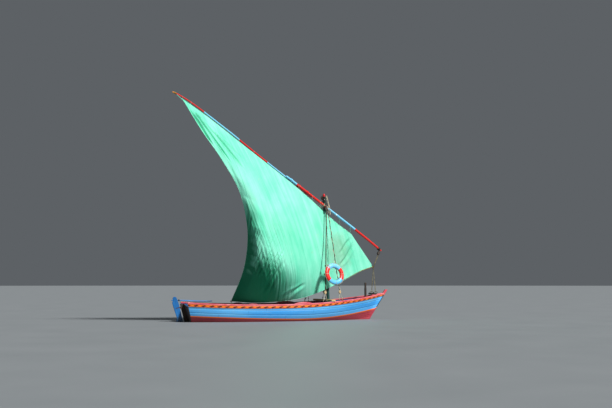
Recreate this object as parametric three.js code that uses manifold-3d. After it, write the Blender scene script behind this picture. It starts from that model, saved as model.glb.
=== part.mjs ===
// An open lateen-rigged sailing boat of the dhow kind, plank on frame, at its real size in millimetres.
// Frame: +X to the bow, +Y to port, +Z up. The origin is on the centreline at the waterline, amidships.
import * as THREE from "three";
import { mergeVertices } from "three/addons/utils/BufferGeometryUtils.js";
import Module from "manifold-3d";

const wasm = await Module();
wasm.setup();

// Driving dimensions of the hull.
const GAP = 0.5; // between pieces that touch
const STEM_X = 3100; // planking's fore end at the waterline
const STEM_RAKE = 0.68; // how far the stem leans out for each unit of height
const TRANSOM_X = -3440; // planking's aft end at the waterline
const TRANSOM_RAKE = -0.3;
// Half-breadth at the gunwale, and how far it takes to close in each way.
const BREADTH = { widestX: -300, half: 1050, foreLength: 3990, aftLength: 3340, transomHalf: 600 };
// Top of the gunwale: its lowest point, and the rise over a length each way.
const SHEER = { lowX: -1000, lowZ: 583, foreLength: 4740, foreRise: 360, aftLength: 2640, aftRise: 76 };
// Section shapes: a higher fullness turns the bilge lower, a higher flare leans the side out.
const SECTION = {
  middle: { fullness: 2.3, flare: 0.58 },
  bow: { fullness: 1.15, flare: 1.0 },
  stern: { fullness: 2.0, flare: 0.62 },
};
const BOW_FROM = 0.45; // share of the length where the bow's shape sets in
const FOREFOOT_FROM = 0.7;
const STERN_TO = 0.35; // and where the stern's shape ends
const END_HALF = 32; // least breadth outside the stem's side
const FOREFOOT_OUT = 29; // how far the planking's lower edge stands off the keel at the bow
const HEEL_OUT = 12; // and at the stern
const BOTTOM_Z = -350; // planking's lower edge amidships
const STERN_BOTTOM_Z = -190;
const BOW_BOTTOM_Z = -215;
const KEEL_BOTTOM_Z = -460;
const KEEL_WIDTH = 70;
const PLANK = 28;
const RAIL_HEIGHT = 55;
const RAIL_WIDTH = 74;
const STRAKE_DEPTH = 78; // painted rubbing strake under the rail
const STRAKE_THICK = 22;
const RIB_DEPTH = 50;
const RIB_WIDTH = 48;
const FIRST_RIB_X = -2930;
const RIB_SPACING = 560;
const RIB_COUNT = 11;

// Driving dimensions of the rig.
const MAST = { footX: 1597, footZ: -200, headX: 1408, headZ: 4500, footR: 62, headR: 46 };
const YARD_CROSSING = { x: 1395, y: -114, z: 4090 }; // where the yard bears on the mast
const YARD_PLAN_ANGLE = 18; // degrees, heel to port and peak to starboard
const YARD_HEEL = { out: 2700, drop: 1585 }; // level distance and fall from the crossing
const YARD_PEAK = { out: 6185, rise: 3270 };
const SPAR_R = { heel: 38, lower: 45, upper: 34, peak: 20 };
const SAIL_THICK = 10;
const SAIL_BELLY = 330; // how far the sail's aft half bulges to starboard
const LOW_BELLY = { out: 420, from: 0.45 }; // how much further it bulges low down, abaft this share of the foot
const LUFF_SHARE = 0.14; // share of the sail's breadth that the short luff takes

const clamp = THREE.MathUtils.clamp;
const lerp = THREE.MathUtils.lerp;
const rad = THREE.MathUtils.degToRad;
const V = (x, y, z) => new THREE.Vector3(x, y, z);

// Finishes: colour, roughness, metalness.
const finish = (color, roughness = 0.75, metalness = 0) =>
  new THREE.MeshStandardMaterial({ color, roughness, metalness });
const PAINT = {
  crimson: finish("#a8384c"),
  blue: finish("#4ba0d7"),
  orange: finish("#e8781a"),
  rail: finish("#cf5563"),
  darkBlue: finish("#1464a0"),
  green: finish("#16433c"),
  red: finish("#e02f2c"),
  skyBlue: finish("#8bd6f2"),
};
const OLD_WOOD = finish("#5b4634", 0.9);
const BARE_WOOD = finish("#b9935f", 0.85);
const DARK_WOOD = finish("#33241a", 0.9);
const ROPE = finish("#c9bd9d", 0.95);
const TARRED_ROPE = finish("#2c2f28", 0.95);
const CANVAS = finish("#8eedcf", 0.8);
const IRON = finish("#5a5148", 0.6, 0.8);

// A geometry with shared vertices and positions alone.
function bare(geometry) {
  const copy = geometry.clone();
  for (const name of ["normal", "uv"]) {
    copy.deleteAttribute(name);
  }
  return mergeVertices(copy, 1e-3);
}

// A closed geometry with its faces turned outwards.
function outward(geometry) {
  const position = geometry.getAttribute("position");
  const index = geometry.index.array;
  let volume = 0;
  const [a, b, c] = [V(), V(), V()];
  for (let i = 0; i < index.length; i += 3) {
    a.fromBufferAttribute(position, index[i]);
    b.fromBufferAttribute(position, index[i + 1]);
    c.fromBufferAttribute(position, index[i + 2]);
    volume += a.dot(b.cross(c));
  }
  if (volume < 0) {
    for (let i = 0; i < index.length; i += 3) {
      const first = index[i + 1];
      index[i + 1] = index[i + 2];
      index[i + 2] = first;
    }
  }
  return geometry;
}

function geometryOf(points, faces) {
  const geometry = new THREE.BufferGeometry().setFromPoints(points);
  geometry.setIndex(faces.flat());
  return outward(geometry);
}

// A solid between rings of points: each ring has the same count, and both ends are closed.
function loft(rings) {
  const count = rings[0].length;
  const faces = [];
  for (let i = 0; i + 1 < rings.length; i++) {
    for (let k = 0; k < count; k++) {
      const next = (k + 1) % count;
      const [p, q] = [i * count, (i + 1) * count];
      faces.push([p + k, p + next, q + next], [p + k, q + next, q + k]);
    }
  }
  const last = (rings.length - 1) * count;
  for (let k = 1; k + 1 < count; k++) {
    faces.push([0, k + 1, k], [last, last + k, last + k + 1]);
  }
  return geometryOf(rings.flat(), faces);
}

// A shell between an outer and an inner grid of points, closed round its edge.
function shell(outer, inner) {
  const [rows, columns] = [outer.length, outer[0].length];
  const at = (side, i, j) => (side * rows + i) * columns + j;
  const faces = [];
  const quad = (a, b, c, d) => faces.push([a, b, c], [a, c, d]);
  for (let i = 0; i + 1 < rows; i++) {
    for (let j = 0; j + 1 < columns; j++) {
      quad(at(0, i, j), at(0, i, j + 1), at(0, i + 1, j + 1), at(0, i + 1, j));
      quad(at(1, i, j), at(1, i + 1, j), at(1, i + 1, j + 1), at(1, i, j + 1));
    }
    for (const [j, turn] of [[0, false], [columns - 1, true]]) {
      const corner = [at(0, i, j), at(0, i + 1, j), at(1, i + 1, j), at(1, i, j)];
      quad(...(turn ? corner.reverse() : corner));
    }
  }
  for (let j = 0; j + 1 < columns; j++) {
    for (const [i, turn] of [[0, true], [rows - 1, false]]) {
      const corner = [at(0, i, j), at(0, i, j + 1), at(1, i, j + 1), at(1, i, j)];
      quad(...(turn ? corner.reverse() : corner));
    }
  }
  return geometryOf([...outer.flat(), ...inner.flat()], faces);
}

// A flat outline in the X-Z plane, given as [x, z] pairs, made into a board of a width across Y.
function sideBoard(outline, width, y = 0) {
  const shape = new THREE.Shape(outline.map(([x, z]) => new THREE.Vector2(x, z)));
  const geometry = new THREE.ExtrudeGeometry(shape, { depth: width, bevelEnabled: false });
  return geometry.rotateX(Math.PI / 2).translate(0, y + width / 2, 0);
}

// A flat outline in the X-Y plane, given as [x, y] pairs, made into a level board.
function levelBoard(outline, z, thick) {
  const shape = new THREE.Shape(outline.map(([x, y]) => new THREE.Vector2(x, y)));
  return new THREE.ExtrudeGeometry(shape, { depth: thick, bevelEnabled: false }).translate(0, 0, z);
}

const box = (x0, x1, y0, y1, z0, z1) =>
  new THREE.BoxGeometry(x1 - x0, y1 - y0, z1 - z0).translate((x0 + x1) / 2, (y0 + y1) / 2, (z0 + z1) / 2);

// A round bar through points, with a radius at each.
function roundBar(points, radii, sides = 12) {
  const rings = points.map((point, i) => {
    const before = points[Math.max(i - 1, 0)];
    const after = points[Math.min(i + 1, points.length - 1)];
    const along = after.clone().sub(before).normalize();
    const side = V(0, 1, 0).cross(along).lengthSq() > 0.01 ? V(0, 1, 0).cross(along) : V(1, 0, 0).cross(along);
    side.normalize();
    const up = along.clone().cross(side);
    return Array.from({ length: sides }, (_, k) => {
      const angle = (2 * Math.PI * k) / sides;
      return point
        .clone()
        .addScaledVector(side, radii[i] * Math.cos(angle))
        .addScaledVector(up, radii[i] * Math.sin(angle));
    });
  });
  return loft(rings);
}

// Joins and cuts of closed geometries.
function solid(geometry) {
  const merged = bare(geometry);
  return new wasm.Manifold(
    new wasm.Mesh({
      numProp: 3,
      vertProperties: merged.getAttribute("position").array,
      triVerts: new Uint32Array(merged.index.array),
    }),
  );
}

function toGeometry(manifold) {
  const mesh = manifold.getMesh();
  const geometry = new THREE.BufferGeometry();
  geometry.setAttribute("position", new THREE.BufferAttribute(new Float32Array(mesh.vertProperties), 3));
  geometry.setIndex(new THREE.BufferAttribute(new Uint32Array(mesh.triVerts), 1));
  return geometry;
}

const join = (...parts) => toGeometry(parts.map(solid).reduce((sum, part) => sum.add(part)));
const cut = (base, ...tools) =>
  toGeometry(tools.map(solid).reduce((rest, tool) => rest.subtract(tool), solid(base)));

const boat = new THREE.Group();
boat.name = "boat";
function add(group, name, geometry, material) {
  const mesh = new THREE.Mesh(geometry, material);
  mesh.name = name;
  group.add(mesh);
}

// Hull form. u runs from the transom (0) to the stem (1), v from the planking's lower edge to its top.
const foreShare = (u) => clamp((u - BOW_FROM) / (1 - BOW_FROM), 0, 1);
const forefoot = (u) => clamp((u - FOREFOOT_FROM) / (1 - FOREFOOT_FROM), 0, 1);
const bowness = (u) => Math.pow(foreShare(u), 1.6);
const sternness = (u) => Math.pow(clamp(1 - u / STERN_TO, 0, 1), 2);

function railTop(x) {
  if (x > SHEER.lowX) {
    return SHEER.lowZ + SHEER.foreRise * Math.pow((x - SHEER.lowX) / SHEER.foreLength, 2.3);
  }
  return SHEER.lowZ + SHEER.aftRise * Math.pow((SHEER.lowX - x) / SHEER.aftLength, 2);
}

function halfBeam(x) {
  if (x > BREADTH.widestX) {
    const share = clamp((x - BREADTH.widestX) / BREADTH.foreLength, 0, 1);
    return BREADTH.half * Math.pow(1 - Math.pow(share, 2.3), 0.95);
  }
  const share = (BREADTH.widestX - x) / BREADTH.aftLength;
  return BREADTH.half - (BREADTH.half - BREADTH.transomHalf) * Math.pow(share, 2.2);
}

const byPlace = (u, name) =>
  lerp(lerp(SECTION.middle[name], SECTION.bow[name], bowness(u)), SECTION.stern[name], sternness(u));

function station(u) {
  const rake = TRANSOM_RAKE * sternness(u) + STEM_RAKE * Math.pow(foreShare(u), 2);
  const x0 = lerp(TRANSOM_X, STEM_X, u);
  let top = SHEER.lowZ;
  for (let turn = 0; turn < 6; turn++) {
    top = railTop(x0 + rake * top);
  }
  const bottom =
    BOTTOM_Z + (STERN_BOTTOM_Z - BOTTOM_Z) * sternness(u) +
    (BOW_BOTTOM_Z - BOTTOM_Z) * Math.pow(forefoot(u), 3);
  return {
    rake,
    x0,
    top: top - RAIL_HEIGHT,
    bottom,
    half: Math.max(halfBeam(x0 + rake * top), KEEL_WIDTH / 2 + END_HALF),
    fullness: byPlace(u, "fullness"),
    flare: byPlace(u, "flare"),
    inner: KEEL_WIDTH / 2 + 2 + FOREFOOT_OUT * Math.pow(forefoot(u), 1.5) + HEEL_OUT * sternness(u),
  };
}

function skin(u, v) {
  const s = station(u);
  const z = lerp(s.bottom, s.top, v);
  const shape = Math.pow(1 - Math.pow(1 - clamp(v, 0, 1), s.fullness), s.flare);
  return V(s.x0 + s.rake * z, s.inner + (s.half - s.inner) * shape, z);
}

// A point of the port side, moved inwards from the planking's outer face by a depth.
function hullPoint(u, v, depth = 0) {
  const [du, dv] = [0.004, 0.02];
  const alongU = skin(Math.min(u + du, 1), v).sub(skin(Math.max(u - du, 0), v));
  const alongV = skin(u, Math.min(v + dv, 1)).sub(skin(u, Math.max(v - dv, 0.002)));
  const out = alongU.cross(alongV).normalize();
  if (out.y < 0) {
    out.negate();
  }
  out.x = 0;
  out.normalize();
  // Above the painted line a wall is measured level, so that edges which meet stay flat.
  const level = v > lineV(u) - 1e-6;
  const inwards = level ? V(0, -1 / Math.max(out.y, 0.6), 0) : out.clone().negate();
  const point = skin(u, v).addScaledVector(inwards, depth);
  point.y = Math.max(point.y, KEEL_WIDTH / 2 + 1);
  return point;
}

const vAt = (u, z) => {
  const s = station(u);
  return (z - s.bottom) / (s.top - s.bottom);
};

// The painted line's lower edge, where bottom planking ends and the topsides begin.
const PAINT_LINE = { lowX: 200, lowZ: 48, aftLength: 3640, aftRise: 130, foreLength: 3230, foreRise: 355 };
function paintLine(x) {
  const { lowX, lowZ, aftLength, aftRise, foreLength, foreRise } = PAINT_LINE;
  return x < lowX
    ? lowZ + aftRise * Math.pow((lowX - x) / aftLength, 1.3)
    : lowZ + foreRise * Math.pow((x - lowX) / foreLength, 2.1);
}

// Columns of the hull grid: each rib's two sides are columns, so planks and ribs share their flats.
const ribX = Array.from({ length: RIB_COUNT }, (_, i) => FIRST_RIB_X + RIB_SPACING * i);
const uOf = (x) => (x - TRANSOM_X) / (STEM_X - TRANSOM_X);
const columns = [0, 0.03];
for (const x of ribX) {
  columns.push(uOf(x - RIB_WIDTH / 2), uOf(x + RIB_WIDTH / 2));
}
columns.push(0.967, 1);
const LOW_ROWS = 6;
const HIGH_ROWS = 4;
const LINE_MEAN_Z = 150; // height at which the raked stations read the painted line
const lineV = (u) => {
  const s = station(u);
  return vAt(u, paintLine(s.x0 + s.rake * LINE_MEAN_Z));
};
const lowRows = (u) => Array.from({ length: LOW_ROWS + 1 }, (_, k) => (lineV(u) * k) / LOW_ROWS);
const highRows = (u) => Array.from({ length: HIGH_ROWS + 1 }, (_, k) => lerp(lineV(u), 1, k / HIGH_ROWS));

const allRows = (u) => [...lowRows(u), ...highRows(u).slice(1)];

// The port side's point at a column and a height, and the clear half-breadth at any x and height.
function levelAt(u, z, depth) {
  const line = allRows(u).map((v) => hullPoint(u, v, depth));
  const above = line.findIndex((p) => p.z >= z);
  const k = above < 0 ? line.length - 1 : Math.max(above, 1);
  const share = clamp((z - line[k - 1].z) / (line[k].z - line[k - 1].z), 0, 1);
  return line[k - 1].clone().lerp(line[k], share);
}
function insideY(x, z, depth) {
  const level = columns.map((u) => levelAt(u, z, depth));
  const k = clamp(level.findIndex((p) => p.x >= x), 1, level.length - 1);
  return lerp(level[k - 1].y, level[k].y, (x - level[k - 1].x) / (level[k].x - level[k - 1].x));
}

const sides = [["port", 1], ["starboard", -1]];
const mirror = (geometry, side) => {
  if (side > 0) {
    return geometry;
  }
  return outward(bare(geometry).scale(1, -1, 1));
};

const hull = new THREE.Group();
boat.add(hull);

// Planking: the bottom below the painted line, and the topsides above it.
function planking(rowsOf, lift) {
  const grid = (depth) =>
    columns.map((u) =>
      rowsOf(u).map((v, k, all) => {
        const edge = k === 0 ? lift[0] : k === all.length - 1 ? lift[1] : 0;
        return hullPoint(u, v, depth).add(V(0, 0, edge));
      }),
    );
  return shell(grid(0), grid(PLANK));
}
for (const [side, sign] of sides) {
  add(hull, `bottom_planking_${side}`, mirror(planking(lowRows, [0, -GAP]), sign), PAINT.crimson);
  add(hull, `topside_planking_${side}`, mirror(planking(highRows, [GAP, -GAP]), sign), PAINT.blue);
}

// A timber that follows the top of the side: offsets are outwards and up from the planking's top.
function sideTimber(us, outOf, inOf, lowOf, highOf) {
  return loft(
    us.map((u) => {
      const edge = hullPoint(u, 1, 0);
      const corner = (out, up) => V(edge.x, Math.max(edge.y + out, KEEL_WIDTH / 2 + 1.5), edge.z + up);
      return [
        corner(outOf(u), lowOf(u)),
        corner(outOf(u), highOf(u)),
        corner(inOf(u), highOf(u)),
        corner(inOf(u), lowOf(u)),
      ];
    }),
  );
}

// Rubbing strake, on the outside of the topsides.
const STRAKE_BOW = { depth: 54, from: 0.6 }; // it grows shallower forward of this share of the length
const STRAKE_OFF = 1.5; // its inner face clears the planking's flats
function strakeDepth(u) {
  const share = clamp((u - STRAKE_BOW.from) / (1 - STRAKE_BOW.from), 0, 1);
  return lerp(STRAKE_DEPTH, STRAKE_BOW.depth, Math.pow(share, 1.4));
}
function rubbingStrake() {
  return loft(
    columns.map((u) => {
      const s = station(u);
      const low = 1 - strakeDepth(u) / (s.top - s.bottom);
      const [a, b] = [hullPoint(u, low, 0), hullPoint(u, 1, 0)];
      return [
        V(a.x, a.y + STRAKE_OFF, a.z),
        V(a.x, a.y + STRAKE_THICK, a.z),
        V(b.x, b.y + STRAKE_THICK, b.z - 2 * GAP),
        V(b.x, b.y + STRAKE_OFF, b.z - 2 * GAP),
      ];
    }),
  );
}
const RAIL_OUT = 30; // how far the rail stands outside the planking
for (const [side, sign] of sides) {
  add(hull, `rubbing_strake_${side}`, mirror(rubbingStrake(), sign), PAINT.orange);
  const rail = sideTimber(columns, () => RAIL_OUT, () => RAIL_OUT - RAIL_WIDTH, () => GAP, () => RAIL_HEIGHT);
  add(hull, `gunwale_${side}`, mirror(rail, sign), PAINT.rail);
}

// Thole pads on the gunwales, where the oars bear. Columns: name, aft x, fore x, height.
const pads = [
  ["aft", -1640, -1330, 24],
  ["fore", -60, 560, 52],
];
const PAD = { edge: 4, set: 4, taper: 4 }; // end height, set in from the rail's side, narrowing at its top
for (const [side, sign] of sides) {
  for (const [name, aft, fore, height] of pads) {
    const shared = columns.filter((u) => u > uOf(aft) + 1e-3 && u < uOf(fore) - 1e-3);
    const steps = Array.from({ length: 9 }, (_, k) => lerp(uOf(aft), uOf(fore), k / 8));
    const us = [...new Set([...shared, ...steps])].sort((a, b) => a - b);
    const railEdge = (u) => {
      const k = clamp(columns.findIndex((c) => c >= u), 1, columns.length - 1);
      const share = (u - columns[k - 1]) / (columns[k] - columns[k - 1]);
      return hullPoint(columns[k - 1], 1, 0).lerp(hullPoint(columns[k], 1, 0), share);
    };
    const pad = loft(
      us.map((u) => {
        const edge = railEdge(u);
        const share = (u - us[0]) / (us[us.length - 1] - us[0]);
        const rise = PAD.edge + height * Math.pow(Math.sin(Math.PI * clamp(share, 0, 1)), 0.7);
        const low = edge.z + RAIL_HEIGHT + GAP;
        const [outside, inside] = [edge.y + RAIL_OUT - PAD.set, edge.y + RAIL_OUT - RAIL_WIDTH + PAD.set];
        return [
          V(edge.x, outside, low),
          V(edge.x, outside - PAD.taper, low + rise),
          V(edge.x, inside + PAD.taper, low + rise),
          V(edge.x, inside, low),
        ];
      }),
    );
    add(hull, `thole_pad_${side}_${name}`, mirror(pad, sign), PAINT.rail);
  }
}

// Backbone: keel with its deadwood, stem, sternpost and transom.
const transomX = (z) => TRANSOM_X + TRANSOM_RAKE * z;
const KEEL_TOP = 32; // how far the keel stands above the planking's lower edge
const STEM_FACE = 62; // how far the stem stands out ahead of the planking
const STEM_DEPTH = 150;
const keelLine = columns.filter((u) => u < 0.97).map((u) => {
  const low = hullPoint(u, 0, 0);
  return [low.x, low.z + KEEL_TOP];
});
// Height of the keel's upper side at a place along it.
function keelTopAt(x) {
  const k = clamp(keelLine.findIndex(([px]) => px >= x), 1, keelLine.length - 1);
  const [[x0, z0], [x1, z1]] = [keelLine[k - 1], keelLine[k]];
  return lerp(z0, z1, (x - x0) / (x1 - x0));
}
const SCARF_X = 2300;
const SEAT_OF_TRANSOM = -158;
const scarfTop = keelTopAt(SCARF_X);
const keelAftX = transomX(SEAT_OF_TRANSOM) - 30;
const SCARF_CLEAR = 5; // the keel's curve stops this far short of the scarf and the transom
add(
  hull,
  "keel",
  sideBoard(
    [
      [keelAftX, KEEL_BOTTOM_Z],
      [SCARF_X, KEEL_BOTTOM_Z],
      [SCARF_X, scarfTop],
      ...keelLine
        .filter(([x]) => x > transomX(SEAT_OF_TRANSOM) + SCARF_CLEAR && x < SCARF_X - SCARF_CLEAR)
        .reverse(),
      [transomX(SEAT_OF_TRANSOM), SEAT_OF_TRANSOM],
      [keelAftX, SEAT_OF_TRANSOM],
    ],
    KEEL_WIDTH,
  ),
  PAINT.crimson,
);
// The stem's side view: its fore edge is straight from the forefoot's corner up to the head.
const stemFace = (z) => STEM_X + STEM_FACE + STEM_RAKE * z;
const STEM_HEAD = { z: 1064, deep: 108, drop: 6 };
const FOREFOOT = { cornerZ: -330, heelZ: -390, heelBack: 60, heelRise: 12 };
const STEM_BACK_Z = 60; // where the stem's aft edge leaves the planking
add(
  hull,
  "stem",
  sideBoard(
    [
      [SCARF_X + GAP, KEEL_BOTTOM_Z],
      [stemFace(FOREFOOT.heelZ) - FOREFOOT.heelBack, KEEL_BOTTOM_Z + FOREFOOT.heelRise],
      [stemFace(FOREFOOT.cornerZ), FOREFOOT.cornerZ],
      [stemFace(STEM_HEAD.z), STEM_HEAD.z],
      [stemFace(STEM_HEAD.z) - STEM_HEAD.deep, STEM_HEAD.z - STEM_HEAD.drop],
      [stemFace(STEM_BACK_Z) - STEM_DEPTH, STEM_BACK_Z],
      ...keelLine.filter(([x]) => x > SCARF_X + SCARF_CLEAR).reverse(),
      [SCARF_X + GAP, scarfTop],
    ],
    KEEL_WIDTH,
  ),
  PAINT.crimson,
);
const POST_TOP_Z = 600;
const RUDDER_RAKE = 0.265;
const RUDDER_TOP_X = -3800; // the rudder's fore edge at the sternpost's top
const rudderLine = (z) => RUDDER_TOP_X - RUDDER_RAKE * (z - POST_TOP_Z);
const POST_GAP = 42; // from the rudder's fore edge to the sternpost
const TRANSOM_THICK = 38;
const TRANSOM_OFF = 2; // from the planks' ends to the transom's fore face
const postFace = (z) => transomX(z) - TRANSOM_THICK - TRANSOM_OFF - GAP;
add(
  hull,
  "sternpost",
  sideBoard(
    [
      [rudderLine(KEEL_BOTTOM_Z) + POST_GAP, KEEL_BOTTOM_Z],
      [keelAftX - GAP, KEEL_BOTTOM_Z],
      [keelAftX - GAP, SEAT_OF_TRANSOM + GAP],
      [postFace(SEAT_OF_TRANSOM), SEAT_OF_TRANSOM + GAP],
      [postFace(POST_TOP_Z), POST_TOP_Z],
      [rudderLine(POST_TOP_Z) + POST_GAP, POST_TOP_Z],
    ],
    KEEL_WIDTH,
  ),
  DARK_WOOD,
);
const TRANSOM_CROWN = 120; // half-width of the transom's flat top
const TRANSOM_SEAT_GAP = 4;
const transomEdge = allRows(0)
  .map((v) => hullPoint(0, v, 0))
  .map((p) => V(p.x, p.y, Math.max(p.z, SEAT_OF_TRANSOM + TRANSOM_SEAT_GAP)));
const transomOutline = [
  ...transomEdge.map((p) => [p.y, p.z]),
  [TRANSOM_CROWN, POST_TOP_Z],
  [-TRANSOM_CROWN, POST_TOP_Z],
  ...transomEdge.map((p) => [-p.y, p.z]).reverse(),
];
function transomBoard() {
  const flat = transomOutline.map(([y, z]) => new THREE.Vector2(y, z));
  const triangles = THREE.ShapeUtils.triangulateShape(flat, []);
  const ring = (aft) => transomOutline.map(([y, z]) => V(transomX(z) - aft, y, z));
  const n = transomOutline.length;
  const faces = [];
  for (const [a, b, c] of triangles) {
    faces.push([a, b, c], [n + a, n + c, n + b]);
  }
  for (let k = 0; k < n; k++) {
    const next = (k + 1) % n;
    faces.push([k, n + k, n + next], [k, n + next, next]);
  }
  return geometryOf([...ring(TRANSOM_OFF), ...ring(TRANSOM_THICK)], faces);
}
add(hull, "transom", transomBoard(), OLD_WOOD);

// Frames: each rib runs from gunwale to gunwale over the keel, and the keelson ties them together.
const RIB_OUT = PLANK + 3;
const RIB_IN = RIB_OUT + RIB_DEPTH;
const RIB_HEAD_DROP = 3; // below the planking's top
const RIB_OVER_KEEL = 1.5;
function rib(index) {
  const [ua, ub] = [columns[2 + 2 * index], columns[3 + 2 * index]];
  const pathAt = (u, depth) => {
    const port = allRows(u).map((v) => hullPoint(u, v, depth));
    const foot = hullPoint(u, 0, 0).z + KEEL_TOP + RIB_OVER_KEEL + (depth - RIB_OUT);
    port[0].y = Math.max(port[0].y, KEEL_WIDTH / 2 + 2);
    port[0].z = Math.max(port[0].z, foot - GAP);
    port[port.length - 1].z -= RIB_HEAD_DROP;
    const centre = V(port[0].x, 0, foot);
    return [...port.slice().reverse(), centre, ...port.map((p) => V(p.x, -p.y, p.z))];
  };
  const [a0, a1, b0, b1] = [pathAt(ua, RIB_OUT), pathAt(ua, RIB_IN), pathAt(ub, RIB_OUT), pathAt(ub, RIB_IN)];
  return loft(a0.map((p, k) => [p, a1[k], b1[k], b0[k]]));
}
const KEELSON = { half: 45, sink: 12, rise: 62 };
const ribTop = (u) => hullPoint(u, 0, 0).z + KEEL_TOP + RIB_DEPTH;
const keelson = loft(
  columns.slice(2, 2 + 2 * RIB_COUNT).map((u) => {
    const { x } = hullPoint(u, 0, 0);
    const [low, high] = [ribTop(u) - KEELSON.sink, ribTop(u) + KEELSON.rise];
    return [
      V(x, -KEELSON.half, low),
      V(x, -KEELSON.half, high),
      V(x, KEELSON.half, high),
      V(x, KEELSON.half, low),
    ];
  }),
);
add(hull, "frames_and_keelson", join(keelson, ...ribX.map((_, i) => rib(i))), OLD_WOOD);

// Inside fittings: risers, floorboards, thwarts, decks.
const RISER = { top: 300, high: 62, off: 1.5, thick: 24.5, from: 0.07, to: 0.93 };
function riser() {
  const us = columns.filter((u) => u > RISER.from && u < RISER.to);
  return loft(
    us.map((u) => {
      const ring = (depth, z) => V(levelAt(u, z, depth).x, levelAt(u, z, depth).y, z);
      return [
        ring(RIB_IN + RISER.off, RISER.top - RISER.high),
        ring(RIB_IN + RISER.off, RISER.top),
        ring(RIB_IN + RISER.off + RISER.thick, RISER.top),
        ring(RIB_IN + RISER.off + RISER.thick, RISER.top - RISER.high),
      ];
    }),
  );
}
for (const [side, sign] of sides) {
  add(hull, `thwart_riser_${side}`, mirror(riser(), sign), OLD_WOOD);
}

const FLOOR_Z = -105;
const FLOOR_THICK = 20;
const FLOOR_CENTRE = { half: 150, seam: 8, edge: 14 }; // half-width, gap beside it, gap along the ribs
const floorEdge = (x) => insideY(x, FLOOR_Z, RIB_IN + FLOOR_CENTRE.edge);
const floorXs = [-2500, -2300, -1700, -1000, -300, 400, 1000, 1360];
const floorPanel = (y0Of, y1Of) =>
  levelBoard(
    [...floorXs.map((x) => [x, y0Of(x)]), ...floorXs.slice().reverse().map((x) => [x, y1Of(x)])],
    FLOOR_Z,
    FLOOR_THICK,
  );
const centrePanel = floorPanel(() => -FLOOR_CENTRE.half, () => FLOOR_CENTRE.half);
add(hull, "floorboard_centre", centrePanel, OLD_WOOD);
for (const [side, sign] of sides) {
  const panel = floorPanel(() => FLOOR_CENTRE.half + FLOOR_CENTRE.seam, floorEdge);
  add(hull, `floorboard_${side}`, mirror(panel, sign), OLD_WOOD);
}

// Thwarts, resting on the risers. Columns: name, centre x, width.
const thwarts = [
  ["aft_thwart", -2090, 240],
  ["middle_thwart", -410, 220],
  ["fore_thwart", 710, 220],
];
const THWART_THICK = 34;
const thwartZ = RISER.top + GAP;
for (const [name, x, width] of thwarts) {
  const reach = (px) => insideY(px, thwartZ + 10, PLANK + 8);
  const outline = [
    [x - width / 2, -reach(x - width / 2)],
    [x + width / 2, -reach(x + width / 2)],
    [x + width / 2, reach(x + width / 2)],
    [x - width / 2, reach(x - width / 2)],
  ];
  add(hull, name, levelBoard(outline, thwartZ, THWART_THICK), OLD_WOOD);
}
// The mast's beam lies across both gunwales.
const BEAM = { x0: 1335, x1: 1475, thick: 62, over: 52 };
const beamZ = railTop(BEAM.x1) + 4;
const beamHalf = insideY((BEAM.x0 + BEAM.x1) / 2, SHEER.lowZ, 0) + BEAM.over;
add(hull, "mast_beam", box(BEAM.x0, BEAM.x1, -beamHalf, beamHalf, beamZ, beamZ + BEAM.thick), BARE_WOOD);

const SEAT_Z = 470;
const SEAT_THICK = 30;
const seatXs = [-3470, -3100, -2960];
const seatReach = (x) => insideY(x, SEAT_Z, RIB_IN + 6);
add(
  hull,
  "stern_seat",
  levelBoard(
    [...seatXs.map((x) => [x, -seatReach(x)]), ...seatXs.slice().reverse().map((x) => [x, seatReach(x)])],
    SEAT_Z,
    SEAT_THICK,
  ),
  PAINT.darkBlue,
);
const DECK_Z = 690;
const DECK_THICK = 26;
const deckXs = [2960, 3150, 3340];
const deckReach = (x) => insideY(x, DECK_Z, RIB_IN + 8);
add(
  hull,
  "foredeck",
  levelBoard(
    [...deckXs.map((x) => [x, -deckReach(x)]), ...deckXs.slice().reverse().map((x) => [x, deckReach(x)])],
    DECK_Z,
    DECK_THICK,
  ),
  DARK_WOOD,
);
const BOW_BEAM = { x: 3290, half: 60, thick: 46, over: 30, lift: 12 };
const bowBeamZ = railTop(BOW_BEAM.x + BOW_BEAM.half) + BOW_BEAM.lift;
const bowBeamHalf = insideY(BOW_BEAM.x, bowBeamZ - 2 * RAIL_HEIGHT, 0) + BOW_BEAM.over;
add(
  hull,
  "bow_beam",
  box(
    BOW_BEAM.x - BOW_BEAM.half,
    BOW_BEAM.x + BOW_BEAM.half,
    -bowBeamHalf,
    bowBeamHalf,
    bowBeamZ,
    bowBeamZ + BOW_BEAM.thick,
  ),
  DARK_WOOD,
);
const BITT = { x: 3010, half: 32, top: 1318 };
add(
  hull,
  "samson_post",
  box(BITT.x - BITT.half, BITT.x + BITT.half, -BITT.half, BITT.half, DECK_Z + DECK_THICK + GAP, BITT.top),
  DARK_WOOD,
);

// Mast and its step.
const mastX = (z) => lerp(MAST.footX, MAST.headX, (z - MAST.footZ) / (MAST.headZ - MAST.footZ));
const mastR = (z) => lerp(MAST.footR, MAST.headR, clamp((z - MAST.footZ) / (MAST.headZ - MAST.footZ), 0, 1));
const mastAt = (z) => V(mastX(z), 0, z);
const mastLevels = [MAST.footZ + 10, 700, 2000, 3300, 4090, 4430];
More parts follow.
